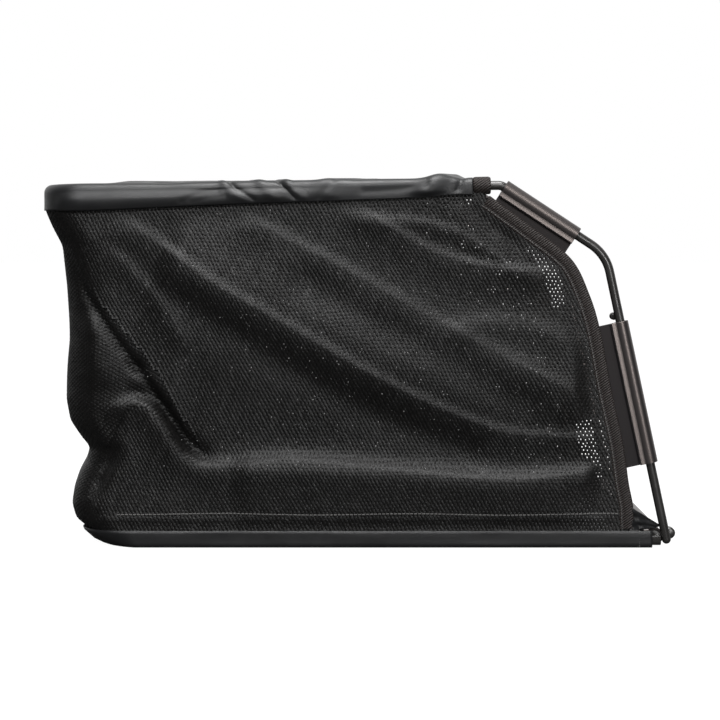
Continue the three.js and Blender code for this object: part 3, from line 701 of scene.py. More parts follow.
def clip_section():
    """Closed outline of a clip: x away from the bag, y to the outside, about the wire's centre."""
    ring = WIRE_R + GAP + CLIP_WALL / 2
    tangent = math.acos(-ring / CLIP_NECK)
    lip_height = CLIP_WALL + CLIP_LIP_GAP
    lip_angle = math.pi - math.asin(lip_height / ring)
    middle = [(-CLIP_TAIL, 0), (-CLIP_NECK - 0.6, 0), (-CLIP_NECK + 0.2, -0.12)]
    for k in range(CLIP_STEPS + 1):
        angle = mix(-tangent, lip_angle, k / CLIP_STEPS)
        middle.append((ring * math.cos(angle), ring * math.sin(angle)))
    lip_x = ring * math.cos(lip_angle) - CLIP_WALL / 2
    middle += [(lip_x, lip_height - 0.1), (lip_x - CLIP_LIP / 2, lip_height)]
    middle += [(lip_x - CLIP_LIP, lip_height + 0.25)]
    middle = np.array(middle)
    along, normal = sideways(np.gradient(middle, axis=0))
    outer = middle + normal * CLIP_WALL / 2
    inner = (middle - normal * CLIP_WALL / 2)[::-1]
    tail_round = [(-CLIP_TAIL - CLIP_WALL * 0.35, 0)]
    lip = middle[-1] + along[-1] * CLIP_WALL * 0.35
    return np.vstack([outer, [lip], inner, tail_round])


def clip_mesh(start, direction, away, length):
    """A clip drawn along a straight wire, with its two ends slightly rounded."""
    start, direction, away = Vector(start), Vector(direction).normalized(), Vector(away).normalized()
    outside = direction.cross(away)
    section = clip_section()
    inner = section - CLIP_EDGE * sideways(np.roll(section, -1, 0) - np.roll(section, 1, 0))[1]
    stations = [(0, inner), (CLIP_EDGE, section), (length - CLIP_EDGE, section), (length, inner)]
    vertices = []
    for distance, outline in stations:
        base = start + direction * distance
        vertices += [tuple(base + away * u + outside * w) for u, w in outline]
    return vertices, capped_faces(len(section), len(stations))


def add_gloss(mesh):
    """Marks the round grip and the lip of a clip as smooth and its tail as matt."""
    section = clip_section()
    gloss = smooth((section[:, 0] + CLIP_NECK) / 2) + smooth(section[:, 1] - 1.4)
    values = np.tile(np.clip(gloss, 0, 1), CLIP_STATIONS)
    mesh.attributes.new("gloss", "FLOAT", "POINT").data.foreach_set("value", values)


def clip_pieces():
    """The clips, each as a name, its mesh and its nodes."""
    slant = (Vector(side_point(KNEE)) - Vector(side_point(RAIL_FRONT))).normalized()
    leg = (Vector(side_point(FOOT)) - Vector(side_point(KNEE))).normalized()
    below_peg = PEG_Z - PEG_R - GAP - WIRE_R * math.sin(LEG_LEAN)
    jobs = {
        "upper_side_clip": (RAIL_FRONT, slant, *UPPER_CLIP),
        "lower_side_clip": (KNEE, leg, (KNEE[1] - below_peg) / math.cos(LEG_LEAN), LOWER_CLIP_LENGTH),
    }
    for name, (corner, direction, distance, length) in jobs.items():
        start = Vector(side_point(corner)) + direction * distance
        away = Vector((-direction.z, 0, direction.x))
        part = clip_mesh(start, direction, away, length)
        yield f"{name}_r", part, [f"{name}_right"]
        yield f"{name}_l", mirrored(*part), [f"{name}_left"]
    drop = BOTTOM_BAR[1] - COATED - GAP - CLIP_WALL / 2
    pitch = math.asin(drop / CLIP_TAIL)
    half = BOTTOM_BAR_HALF - BOTTOM_CLIP_MARGIN
    start = (BOTTOM_BAR[0], half, BOTTOM_BAR[1])
    part = clip_mesh(start, (0, -1, 0), (math.cos(pitch), 0, math.sin(pitch)), 2 * half)
    yield "bottom_bar_clip", part, ["bottom_clip"]


# Knitted net

# The holes: slant, length over width, spread of their sizes and places, and their share of the full size
# in slack net and beside the tape. The net is stretched near the mouth
HOLE_ANGLES = np.radians([215, 270, 325, 35, 90, 145])
HOLE_SLANT = 0.25
HOLE_LENGTH = 1.3
HOLE_SPREAD = (0.8, 1.15)
HOLE_DRIFT = 0.08
SLACK_HOLE = 0.6
TAPE_HOLE = 0.3
STRETCHED_REACH = 70
STRETCHED_FADE = 34

# Height of the yarn over the cloth's middle, and its share away from the joints
NET_RELIEF = 0.42
YARN_SHARE = 0.6

# The net's flat reach from its start, to the mouth and upwards, and across the back from the middle
SIDE_REACH = 480
SIDE_RISE = 270
BACK_REACH = 330
BACK_RISE = 262

# How far the net runs under the foot strip, the cover, the tape and the side net's rear edge
UNDER_STRIP = 2
UNDER_COVER = 3
UNDER_TAPE = 6
UNDER_SIDE = (12, 14)
BACK_TUCK = 1.6


def wander(a, b):
    """The drift of the knitting over the cloth."""
    return a + 1.8 * ripple(a, b, 31, 24), b + 1.4 * ripple(a, b, 32, 27)


def net_cells(settings, width, height, keep, place, openness):
    """A knitted net of staggered cells with a six-sided hole in each.

    keep says which cells are there from their centres, openness gives the share of the hole's
    size that the stretch of the cloth leaves there, and place turns grid places and a height
    above the cloth into points. Returns vertices and quads.
    """
    pitch, row_pitch = settings.net_pitch / MM, settings.net_row_pitch / MM
    columns, rows = int(width / pitch), int(height / row_pitch)
    i, j = np.meshgrid(np.arange(columns), np.arange(rows), indexing="ij")
    i, j = i.ravel(), j.ravel()
    shift = j % 2
    rng = np.random.default_rng(7)
    centre_a = (i + 0.5 + 0.5 * shift) * pitch
    centre_b = (j + 0.5) * row_pitch
    chosen = keep(centre_a, centre_b)
    i, j, shift = i[chosen], j[chosen], shift[chosen]
    centre_a, centre_b = centre_a[chosen], centre_b[chosen]
    lattice = 2 * columns + 3
    lower = j * lattice + 2 * i + shift
    upper = lower + lattice
    corner = np.stack([lower, lower + 1, lower + 2, upper + 2, upper + 1, upper], 1)
    used, corner = np.unique(corner, return_inverse=True)
    corner = corner.reshape(-1, 6)
    grid_a = (used % lattice) * 0.5 * pitch
    grid_b = (used // lattice) * row_pitch
    hole = settings.net_hole / MM
    size = 0.5 * hole * rng.uniform(*HOLE_SPREAD, (len(i), 1)) * openness(centre_a, centre_b)[:, None]
    drift = rng.normal(0, HOLE_DRIFT * pitch, (2, len(i), 1))
    across, up = np.cos(HOLE_ANGLES), np.sin(HOLE_ANGLES)
    hole_a = (centre_a[:, None] + drift[0] + size * (across + HOLE_SLANT * up)).ravel()
    hole_b = (centre_b[:, None] + drift[1] + size * HOLE_LENGTH * up).ravel()
    joint = (used % lattice + used // lattice) % 2
    heights = np.concatenate([NET_RELIEF * mix(YARN_SHARE, 1, joint), np.full(len(hole_a), -NET_RELIEF)])
    vertices = place(np.concatenate([grid_a, hole_a]), np.concatenate([grid_b, hole_b]), heights)
    ring = len(used) + 6 * np.arange(len(i))[:, None] + np.arange(6)
    quads = np.stack([corner, np.roll(corner, -1, 1), np.roll(ring, -1, 1), ring], 2)
    return vertices, np.concatenate([quads[:, k] for k in range(6)])


def net_object(name, vertices, faces, side=1):
    """A net from arrays of the right hand side, or its mirror image where side is negative."""
    if side < 0:
        vertices = vertices * (1, -1, 1)
        faces = faces[:, ::-1]
    mesh = bpy.data.meshes.new(name)
    mesh.from_pydata(to_metres(vertices), [], faces)
    mesh.update()
    return link_piece(name, mesh, finish_of("net"))


def side_net_mesh(settings):
    """The net of one side: a runs from the mouth to the rear and b upwards."""

    def skin_xz(a, b):
        return NET_START_X - a, NET_START_Z + b

    def keep(a, b):
        a, b = wander(a, b)
        x, z = skin_xz(a, b)
        point, _ = net_skin(a, z)
        under_tape = mouth_distance(x, z) > BINDING_WIDTH - UNDER_TAPE
        inside = under_tape & (z > BAG_FOOT - UNDER_STRIP) & (z < seam_height(x) + UNDER_COVER)
        before_corner = a < NET_START_X - rear_x(z) - rear_radius(z) * 0.25
        return inside & before_corner & ~behind_seam(point[:, 0], z)

    def place(a, b, height):
        a, b = wander(a, b)
        points, out = net_skin(a, NET_START_Z + b)
        return points + out * height[:, None]

    def openness(a, b):
        inside = mouth_distance(*skin_xz(a, b))
        stretch = smooth((STRETCHED_REACH - inside) / STRETCHED_FADE)
        beside_tape = smooth((inside - BINDING_WIDTH - 1.5) / 3.5)
        return mix(SLACK_HOLE, 1, stretch) * mix(TAPE_HOLE, 1, beside_tape)

    vertices, faces = net_cells(settings, SIDE_REACH, SIDE_RISE, keep, place, openness)
    return vertices, faces[:, ::-1]


def back_net_mesh(settings):
    """The net of the rear and its two corners: a runs upwards and b across the back."""

    def skin(a, b):
        z = NET_START_Z + a
        q = b - BACK_REACH
        points, out = net_skin(half_girth(z) - np.abs(q), z)
        flip = np.where(q > 0, -1, 1)
        same = np.ones_like(flip)
        return points * np.stack([same, flip, same], -1), out * np.stack([same, flip, 0 * flip], -1)

    def keep(a, b):
        a, b = wander(a, b)
        points, out = skin(a, b)
        x, z = points[:, 0], NET_START_Z + a
        inside = (z > BAG_FOOT - UNDER_STRIP) & (z < np.maximum(seam_height(x), BAG_TOP) + 2)
        flank = np.abs(out[:, 1]) > 0.97
        back, up = UNDER_SIDE
        under = behind_seam(x, z) | behind_seam(x - back, z)
        under = under | behind_seam(x, z + up) | behind_seam(x - back, z + up)
        return inside & (under | ~flank)

    def place(a, b, height):
        points, out = skin(*wander(a, b))
        tuck = BACK_TUCK * smooth((np.abs(out[:, 1]) - 0.9) / 0.1)
        return points + out * (height - tuck)[:, None]

    def openness(a, b):
        return np.full(np.shape(a), SLACK_HOLE)

    return net_cells(settings, BACK_RISE, 2 * BACK_REACH, keep, place, openness)


# Tape, coated cloth and stitches

# The tape's section as (inset from the mouth edge, height above the net), and the depth, inset and
# width of the stitched groove along it
TAPE_PROFILE = [
    (11.6, -0.6), (11, 0.1), (10, 0.55), (9, 0.68), (8.2, 0.7), (7.4, 0.72), (6, 0.75), (4, 0.8),
    (2.2, 0.75), (1.0, 0.4), (0.3, -0.3), (0, -1.2), (0.3, -2.1), (1.2, -2.6), (4, -2.7), (8, -2.7),
    (11, -2.6),
]
TAPE_GROOVE = (0.6, 8.2, 0.7)
TAPE_STEPS = 420

# The floor's strip as (reach in at the rear, reach in all round, height), and its rows further in
FLOOR_PROFILE = [
    (-8, 0.7, 13.5), (-8, 0, 13.1), (-6.5, -0.25, 11), (-3.5, 0, 8.1), (0.5, 0, 4.5), (3.5, 0, 3),
    (6, 0.35, 1.6), (8.5, 1.1, 0.6), (11, 2.2, 0.12), (13, 3, 0.0),
]
FLOOR_SHARES = (0.02, 0.06, 0.15, 0.3, 0.5, 0.75, 1)
FLOOR_FULLNESS = 6.5

# Rows of the cover: shares of its turned down edge, angles over the wire, and distances in from it
SKIRT_SHARES = (0, 0.08, 0.17, 0.27, 0.38, 0.5, 0.62, 0.75, 0.88, 1)
SHOULDER_ANGLES = np.radians(np.linspace(10, 90, 9))
COVER_INSETS = np.concatenate([np.linspace(2, 44, 15), np.linspace(50, 190, 22)])
COVER_SAG = 2
WRINKLE_DEPTH = 3.2

# Spacing, length and thread radius of each row of stitches, and where the rows run
THREAD = {
    "hem_stitches": (3.1, 2.3, 0.45),
    "binding_stitches": (3, 2.1, 0.22),
    "strip_stitches": (2.6, 1.7, 0.24),
}
HEM_SPAN = (-190, 196)
HEM_Z = 26.5
TAPE_STITCH_INSET = 9.6
STRIP_STITCH_X = 214

CORNER_STEPS = 22
GUSSET_GRID = (44, 26)
SLEEVE_SIDES = 48
THREAD_SIDES = 6


def thick_sheet(points, columns, rows, thickness, direction):
    """A grid of points made into a closed sheet, with its inner skin against the given direction."""
    points = np.asarray(points, float)
    inner = points - np.asarray(direction) * thickness
    count = len(points)
    faces = grid_faces(columns, rows)
    faces += [tuple(i + count for i in reversed(f)) for f in faces]
    rim = list(range(columns))
    rim += [j * columns + columns - 1 for j in range(1, rows)]
    rim += [(rows - 1) * columns + i for i in range(columns - 2, -1, -1)]
    rim += [j * columns for j in range(rows - 2, 0, -1)]
    for a, b in zip(rim, rim[1:] + rim[:1]):
        faces.append((b, a, a + count, b + count))
    return np.vstack([points, inner]), faces


def resampled(rows, count):
    """The rows of a table at evenly spaced places along it."""
    even = np.linspace(0, len(rows) - 1, count)
    return np.column_stack([np.interp(even, np.arange(len(rows)), column) for column in rows.T])


def binding_mesh():
    """Woven tape folded round the mouth edge, with a stitched groove along it."""
    line, inward = (resampled(rows, TAPE_STEPS) for rows in mouth_frame())
    length = np.concatenate([[0], np.cumsum(np.linalg.norm(np.diff(line, axis=0), axis=1))])
    depth, middle, width = TAPE_GROOVE
    vertices = []
    for p, n, s in zip(line, inward, length):
        wave = 0.35 * math.sin(s / 17) + 0.2 * math.sin(s / 6.3 + 1)
        for inset, out in TAPE_PROFILE:
            groove = depth * math.exp(-((inset - middle) / width) ** 2)
            x, z = p + n * (inset + 0.12 * wave)
            vertices.append((x, -(NET_Y + out - groove + 0.25 * wave), z))
    return vertices, capped_faces(len(TAPE_PROFILE), TAPE_STEPS)


def tray_outline(front_x, rear, half_width, corner, side_steps, rear_steps):
    """Outline of the right half of a tray with outward directions, from the mouth to the rear middle."""
    rows = []
    for x in np.linspace(front_x, rear + corner, side_steps, endpoint=False):
        rows.append((x, -half_width, 0, -1))
    for k in range(CORNER_STEPS + 1):
        a = math.pi / 2 * k / CORNER_STEPS
        nx, ny = -math.sin(a), -math.cos(a)
        rows.append((rear + corner + corner * nx, -(half_width - corner) + corner * ny, nx, ny))
    for y in np.linspace(-(half_width - corner), 0, rear_steps + 1)[1:]:
        rows.append((rear, y, -1, 0))
    return np.array(rows)


def wrinkle_relief(x, up):
    relief = waves(x, up * 2, TOP_WAVES)
    for height, reach, line in TOP_WRINKLES:
        distance = crease(smooth_line(line, 20).tolist(), x, up)
        relief = relief + height * np.exp(-((distance / reach) ** 2))
    return relief


def whole_tray(half):
    """Joins the rows of half a tray, each from its rim to the middle, with their mirror image."""
    half = np.asarray(half)
    loop = np.concatenate([half, (half * (1, -1, 1))[-2::-1]])
    faces = [tuple(reversed(f)) for f in grid_faces(loop.shape[1], len(loop))]
    return loop.reshape(-1, 3), faces


def apply_modifiers(piece):
    graph = bpy.context.evaluated_depsgraph_get()
    mesh = bpy.data.meshes.new_from_object(piece.evaluated_get(graph))
    piece.modifiers.clear()
    piece.data = mesh
    return piece


def coated_piece(name, half):
    """A closed piece of coated cloth from the rows of half an open tray."""
    piece = new_object(name, *whole_tray(half), finish_of("coated"))
    work = bmesh.new()
    work.from_mesh(piece.data)
    bmesh.ops.remove_doubles(work, verts=work.verts, dist=1e-6)
    bmesh.ops.dissolve_degenerate(work, edges=work.edges, dist=1e-7)
    work.to_mesh(piece.data)
    work.free()
    solid = piece.modifiers.new("thickness", "SOLIDIFY")
    solid.thickness = COATED * MM
    solid.offset = -1
    solid.use_even_offset = True
    return apply_modifiers(piece)


def top_cover_piece():
    """The coated top: each row runs up its turned down edge, over the wire and in to the middle."""
    rear = RAIL_REAR[0] - SHOULDER
    rows = []
    for x, y, nx, ny in tray_outline(COVER_FRONT_X, rear, CLOTH_Y, REAR_BEND + SHOULDER, 260, 60):
        hub = np.array([x - nx * SHOULDER, y - ny * SHOULDER])
        base = float(rail_z(x))
        low = float(seam_height(x)) + GAP
        rearward = mix(0.1, 1, smooth(-x / 90))
        flank = smooth(-ny * 4 - 3)
        ring = []
        for t in SKIRT_SHARES:
            z = mix(low, base, t)
            out = SHOULDER + SKIRT_FLARE * math.sin((1 - t) * 3.0) * rearward * flank
            ring.append(((hub[0] + nx * out, hub[1] + ny * out, z), (nx, ny, 0), z - low))
        for a in SHOULDER_ANGLES:
            reach, rise = SHOULDER * math.cos(a), SHOULDER * math.sin(a)
            place = (hub[0] + nx * reach, hub[1] + ny * reach, base + rise)
            normal = (nx * math.cos(a), ny * math.cos(a), math.sin(a))
            ring.append((place, normal, base - low + SHOULDER * a))
        spine = np.array([max(x, SPINE_REAR_X), 0.0])
        toward = spine - hub
        distance = np.linalg.norm(toward)
        for inset in COVER_INSETS:
            place = spine
            if inset < min(distance, COVER_INSETS[-1]):
                place = hub + toward * (inset / distance)
            share = inset / COVER_INSETS[-1]
            sag = COVER_SAG * math.cos(place[1] / SIDE_Y * math.pi / 2) * share
            up = base - low + SHOULDER * math.pi / 2 + inset
            ring.append(((*place, rail_z(place[0]) + SHOULDER + sag), (0, 0, 1), up))
        places, normals, ups = (np.array(column, float) for column in zip(*ring))
        fade = smooth(ups / 4) * smooth((COVER_FRONT_X - places[:, 0]) / 12)
        relief = np.maximum(wrinkle_relief(places[:, 0], ups) * fade, -WRINKLE_DEPTH)
        rows.append(places + normals * relief[:, None])
    return coated_piece("coated_top", rows)


def floor_piece():
    """The coated floor: each row runs down its strip, round the lower wire and in to the middle."""
    rear = LOWER_REAR_X - WIRE_R - CLOTH_GAP - COATED - FLOOR_FULLNESS
    rows = []
    for x, y, nx, ny in tray_outline(STRIP_FRONT_X, rear, CLOTH_Y, LOWER_REAR_BEND + 6, 180, 40):
        wave = 0.22 * math.sin(x / 31 + y / 40) + 0.12 * math.sin(x / 11 + 2)
        ring = []
        for rear_in, all_in, z in FLOOR_PROFILE:
            inward = max(0.0, -nx) * rear_in + all_in
            inward -= wave * smooth((z - 1) / 5) * smooth((STRIP_HEIGHT - z) / 2)
            ring.append((x - nx * inward, y - ny * inward, z))
        hub = np.array(ring[-1][:2])
        spine = np.array([max(x, SPINE_REAR_X), 0.0])
        ring += [(*mix(hub, spine, share), 0) for share in FLOOR_SHARES]
        rows.append(ring)
    return coated_piece("coated_floor", rows)


def gusset_mesh():
    """Coated corner between the mouth binding and the foot of the leg, with shiny creases."""
    mouth_x, mouth_z = MOUTH_EDGE[1]
    foot_z = STRIP_HEIGHT + 2 * GAP
    tip_x = leg_x(foot_z) - 1
    columns, rows = GUSSET_GRID
    depth = CLOTH_Y - SIDE_Y + WIRE_R + 2 * COATED
    points = []
    for v in np.linspace(0, 1, rows):
        for u in np.linspace(0, 1, columns):
            x = mix(mouth_x - 1, mix(STRIP_FRONT_X, tip_x, v), u)
            z = mix(foot_z, mix(mouth_z - 2, foot_z + 1.5, u), v)
            inward = ((x - mouth_x) / (tip_x - mouth_x)) * depth
            fold = 0.9 * math.sin(u * 11 + v * 7) * (1 - u) + 0.5 * math.sin(u * 5 - v * 13) * (1 - u * 0.6)
            points.append((x, -(NET_Y + fold - inward), z))
    return thick_sheet(points, columns, rows, COATED, (0, -1, 0))


def sleeve_mesh(start, end, rings):
    """A padded woven sleeve round a wire, with rounded ends and soft waves."""
    start, end = Vector(start), Vector(end)
    length = (end - start).length
    direction = (end - start).normalized()
    side = Vector((0, 0, 1))
    side = (side - direction * side.dot(direction)).normalized()
    up = direction.cross(side)
    profile = [(0, WIRE_R + GAP), (0, SLEEVE_R - 1.2), (0.35, SLEEVE_R - 0.5), (1.0, SLEEVE_R - 0.12)]
    ends = [(length - s, r) for s, r in reversed(profile)]
    middle = [(s, SLEEVE_R) for s in np.linspace(2, length - 2, rings)]
    vertices = []
    for s, radius in profile + middle + ends:
        for k in range(SLEEVE_SIDES):
            a = math.tau * k / SLEEVE_SIDES
            soft = 0.1 * math.sin(s / 7 + 3 * a) if radius == SLEEVE_R else 0
            outward = side * math.cos(a) + up * math.sin(a)
            vertices.append(tuple(start + direction * s + outward * (radius + soft)))
    count = len(profile) * 2 + len(middle)
    faces = grid_faces(SLEEVE_SIDES, count, wrap=True)
    last = (count - 1) * SLEEVE_SIDES
    for k in range(SLEEVE_SIDES):
        following = (k + 1) % SLEEVE_SIDES
        faces.append((last + k, last + following, following, k))
    return vertices, faces


def sleeve_pieces():
    """The sleeves, each as a name, its mesh and its nodes."""
    half = SIDE_Y - SLEEVE_R - GAP
    top = [(TOP_BAR_X, y, rail_z(TOP_BAR_X)) for y in (-half, half)]
    yield "bar_sleeve", sleeve_mesh(*top, 120), ["top_front_sleeve"]
    rail = [(x, -SIDE_Y, rail_z(x)) for x in (TOP_BAR_X - SLEEVE_R, TOP_BAR_X + SLEEVE_R)]
    corner = sleeve_mesh(*rail, 10)
    yield "corner_right", corner, ["corner_sleeve_right"]
    yield "corner_left", mirrored(*corner), ["corner_sleeve_left"]


def stitch_tree():
    """Geometry nodes that lay short stitches of thread along a path."""
    tree = bpy.data.node_groups.new("stitch_row", "GeometryNodeTree")
    face = tree.interface
    face.new_socket("Geometry", in_out="INPUT", socket_type="NodeSocketGeometry")
    for name, value in (("Spacing", 0.003), ("Stitch Length", 0.002), ("Thread Radius", 0.00035)):
        socket = face.new_socket(name, in_out="INPUT", socket_type="NodeSocketFloat")
        socket.default_value = value
    face.new_socket("Thread", in_out="INPUT", socket_type="NodeSocketMaterial")
    face.new_socket("Geometry", in_out="OUTPUT", socket_type="NodeSocketGeometry")
    source, result = add_node(tree, "NodeGroupInput"), add_node(tree, "NodeGroupOutput")
    curve = add_node(tree, "GeometryNodeMeshToCurve")
    spaced = add_node(tree, "GeometryNodeResampleCurve", mode="LENGTH")
    tangent = add_node(tree, "GeometryNodeInputTangent")
    align = add_node(tree, "FunctionNodeAlignRotationToVector", axis="Z")
    stitch = add_node(tree, "GeometryNodeMeshCylinder", Vertices=THREAD_SIDES)
    place = add_node(tree, "GeometryNodeInstanceOnPoints")
    real, paint = add_node(tree, "GeometryNodeRealizeInstances"), add_node(tree, "GeometryNodeSetMaterial")
    link = tree.links.new
    link(source.outputs["Geometry"], curve.inputs["Mesh"])
    link(curve.outputs["Curve"], spaced.inputs["Curve"])
    link(source.outputs["Spacing"], spaced.inputs["Length"])
    link(source.outputs["Thread Radius"], stitch.inputs["Radius"])
    link(source.outputs["Stitch Length"], stitch.inputs["Depth"])
    link(tangent.outputs["Tangent"], align.inputs["Vector"])
    link(spaced.outputs["Curve"], place.inputs["Points"])
    link(stitch.outputs["Mesh"], place.inputs["Instance"])
    link(align.outputs["Rotation"], place.inputs["Rotation"])
    link(place.outputs["Instances"], real.inputs["Geometry"])
    link(real.outputs["Geometry"], paint.inputs["Geometry"])
    link(source.outputs["Thread"], paint.inputs["Material"])
    link(paint.outputs["Geometry"], result.inputs["Geometry"])
    return tree


def stitch_piece(name, paths, spacing, length, radius):
    """Stitches along the given paths as one plain mesh."""
    vertices, edges = [], []
    for path in paths:
        start = len(vertices)
        vertices += [tuple(p) for p in to_metres(path)]
        edges += [(i, i + 1) for i in range(start, len(vertices) - 1)]
    mesh = bpy.data.meshes.new(name)
    mesh.from_pydata(vertices, edges, [])
    piece = bpy.data.objects.new(name, mesh)
    bpy.context.scene.collection.objects.link(piece)
    tree = bpy.data.node_groups.get("stitch_row") or stitch_tree()
    modifier = piece.modifiers.new("stitches", "NODES")
    modifier.node_group = tree
    values = {"Spacing": spacing, "Stitch Length": length, "Thread Radius": radius}
    values["Thread"] = finish_of("thread")
    for item in tree.interface.items_tree:
        if item.name in values:
            modifier[item.identifier] = values[item.name]
    return apply_modifiers(piece)


def both_sides(path):
    """A path on the right hand side and its mirror image."""
    path = np.asarray(path, float)
    return [path, path * (1, -1, 1)]


def stitch_paths():
    """The seams that show thread, each as a name and its paths."""
    hem_x = np.linspace(*HEM_SPAN, 220)
    hem_z = HEM_Z + 0.5 * np.sin(hem_x / 23)
    points, out = net_skin(NET_START_X - hem_x, hem_z)
    yield "hem_stitches", both_sides(points + out * 0.6)
    line, inward = mouth_frame()
    row = line + inward * TAPE_STITCH_INSET
    row = np.column_stack([row[:, 0], np.full(len(row), -NET_Y - 0.75), row[:, 1]])
    yield "binding_stitches", both_sides(row)
    z = np.linspace(1.6, 16, 12)
    strip = np.column_stack([np.full_like(z, STRIP_STITCH_X), np.full_like(z, -CLOTH_Y - 0.05), z])
    yield "strip_stitches", both_sides(strip)


# Settings


def length(name, text, value):
    return FloatProperty(name=name, description=text, default=value, unit="LENGTH")


def colour(name, text, value):
    return FloatVectorProperty(name=name, description=text, default=value, subtype="COLOR")


class BoxSizes(bpy.types.PropertyGroup):
    """Sizes that a user would change."""

    net_pitch: length("Net pitch", "Width of a cell of the net", 0.003)
    net_row_pitch: length("Net row", "Height of a row of cells", 0.0028)
    net_hole: length("Net hole", "Width of a hole of the net", 0.00082)
    camera_distance: length("Camera distance", "From the near side to the camera", 1.63)
    camera_height: length("Camera height", "Above the floor", 0.246)
    camera_pitch: FloatProperty(
        name="Camera pitch", description="How far the camera looks down", default=math.radians(3.505),
        subtype="ANGLE")
    camera_lens: FloatProperty(name="Lens", description="Focal length on a 36 mm sensor", default=105.9)


class BoxColours(bpy.types.PropertyGroup):
    """Base colours of the finishes."""

    net: colour("Net", "Knitted net", (0.0028, 0.0026, 0.0025))
    coated: colour("Coated cloth", "Top and floor", (0.0085, 0.0087, 0.0092))
    tape: colour("Tape", "Woven binding", (0.0125, 0.0098, 0.009))
    paint: colour("Paint", "Wire frame", (0.02, 0.019, 0.018))
    clip: colour("Clip", "Extruded clips", (0.008, 0.008, 0.009))
    thread: colour("Thread", "Sewing thread", (0.05, 0.048, 0.046))


# Operators


class BuildOperator:
    """Runs the build step of an operator"""

    bl_options = {"REGISTER", "UNDO"}

    def execute(self, context):
        self.build(context)
        return {"FINISHED"}


class BOX_OT_wires(BuildOperator, bpy.types.Operator):
    """Adds the bent wires, the cross bars and the stop pegs"""

    bl_idname = "collection_box.wires"
    bl_label = "Wire frame"

    def build(self, context):
        for name, (vertices, faces), nodes in wire_pieces():
            finish_piece(new_object(name, vertices, faces, finish_of("paint")), nodes)


class BOX_OT_clips(BuildOperator, bpy.types.Operator):
    """Adds the extruded clips that hold the cloth to the wires"""

    bl_idname = "collection_box.clips"
    bl_label = "Clips"

    def build(self, context):
        for name, (vertices, faces), nodes in clip_pieces():
            piece = new_object(name, vertices, faces, finish_of("clip"))
            piece.data.set_sharp_from_angle(angle=math.radians(35))
            add_gloss(piece.data)
            finish_piece(piece, nodes)


class BOX_OT_nets(BuildOperator, bpy.types.Operator):
    """Adds the knitted side nets and the back net"""

    bl_idname = "collection_box.nets"
    bl_label = "Nets"

    def build(self, context):
        sizes = context.scene.box_sizes
        vertices, faces = side_net_mesh(sizes)
        for name, side in SIDES.items():
            piece = net_object(f"net_{name}", vertices, faces, side)
            finish_piece(piece, [f"side_net_{name}"])
        vertices, faces = back_net_mesh(sizes)
        piece = net_object("net_back", vertices, faces)
        finish_piece(piece, ["back_net"])


class BOX_OT_bindings(BuildOperator, bpy.types.Operator):
    """Adds the woven tape at the mouth and the sleeve round the top bar"""

    bl_idname = "collection_box.bindings"
    bl_label = "Tape and sleeve"

    def build(self, context):
        add_pair("tape", binding_mesh(), "tape", "mouth_binding")
        for name, part, nodes in sleeve_pieces():
            finish_piece(new_object(name, *part, finish_of("tape")), nodes)


class BOX_OT_coated(BuildOperator, bpy.types.Operator):
    """Adds the coated top, the floor with its strip and the corner gussets"""

    bl_idname = "collection_box.coated"
    bl_label = "Coated cloth"

    def build(self, context):
        top = finish_piece(top_cover_piece(), ["top_cover"])
        floor = finish_piece(floor_piece(), ["bottom_panel"])
        add_pair("gusset", gusset_mesh(), "coated", "bottom_gusset")


class BOX_OT_stitches(BuildOperator, bpy.types.Operator):
    """Adds the rows of stitches"""

    bl_idname = "collection_box.stitches"
    bl_label = "Stitches"

    def build(self, context):
        for name, paths in stitch_paths():
            finish_piece(stitch_piece(name, paths, *(size * MM for size in THREAD[name])))


class BOX_OT_stage(BuildOperator, bpy.types.Operator):
    """Adds the floor, the lamps, the world and the camera"""

    bl_idname = "collection_box.stage"
    bl_label = "Stage"

    def build(self, context):
        scene = context.scene
        scene.view_settings.view_transform = "Standard"
        white_world(scene)
        pale_floor()
        for name, values in LAMPS.items():
            soft_lamp(name, *values)
        sizes = scene.box_sizes
        camera = bpy.data.objects.new("camera", bpy.data.cameras.new("camera"))
        camera.data.lens = sizes.camera_lens
        camera.data.sensor_width = SENSOR_WIDTH
        camera_x = (SHIFT_X - CAMERA_OFFSET) * MM
        camera.location = (camera_x, -CLOTH_Y * MM - sizes.camera_distance, sizes.camera_height)
        camera.rotation_euler = (math.pi / 2 - sizes.camera_pitch, 0, 0)
        scene.collection.objects.link(camera)
        scene.camera = camera


# Stage

CAMERA_OFFSET = 2.7
SENSOR_WIDTH = 36
ROOM_LIGHT = 0.015
FLOOR_HALF = 14
FLOOR_DROP = 0.0002
FLOOR_GLOW = 0.98
FLOOR_COLOUR = (0.05, 0.05, 0.05)

# Place, target, width, height and power of each lamp
LAMPS = {
    "top_lamp": ((0.1, -0.5, 1.8), (0, -0.1, 0.15), 0.9, 0.9, 62),
    "sheen_lamp": ((-0.2, -1.9, 1.55), (0, -0.2, 0.15), 1.8, 0.16, 50),
    "side_lamp": ((0.8, -2.1, 0.42), (0.15, -0.2, 0.15), 0.36, 0.8, 17),
}


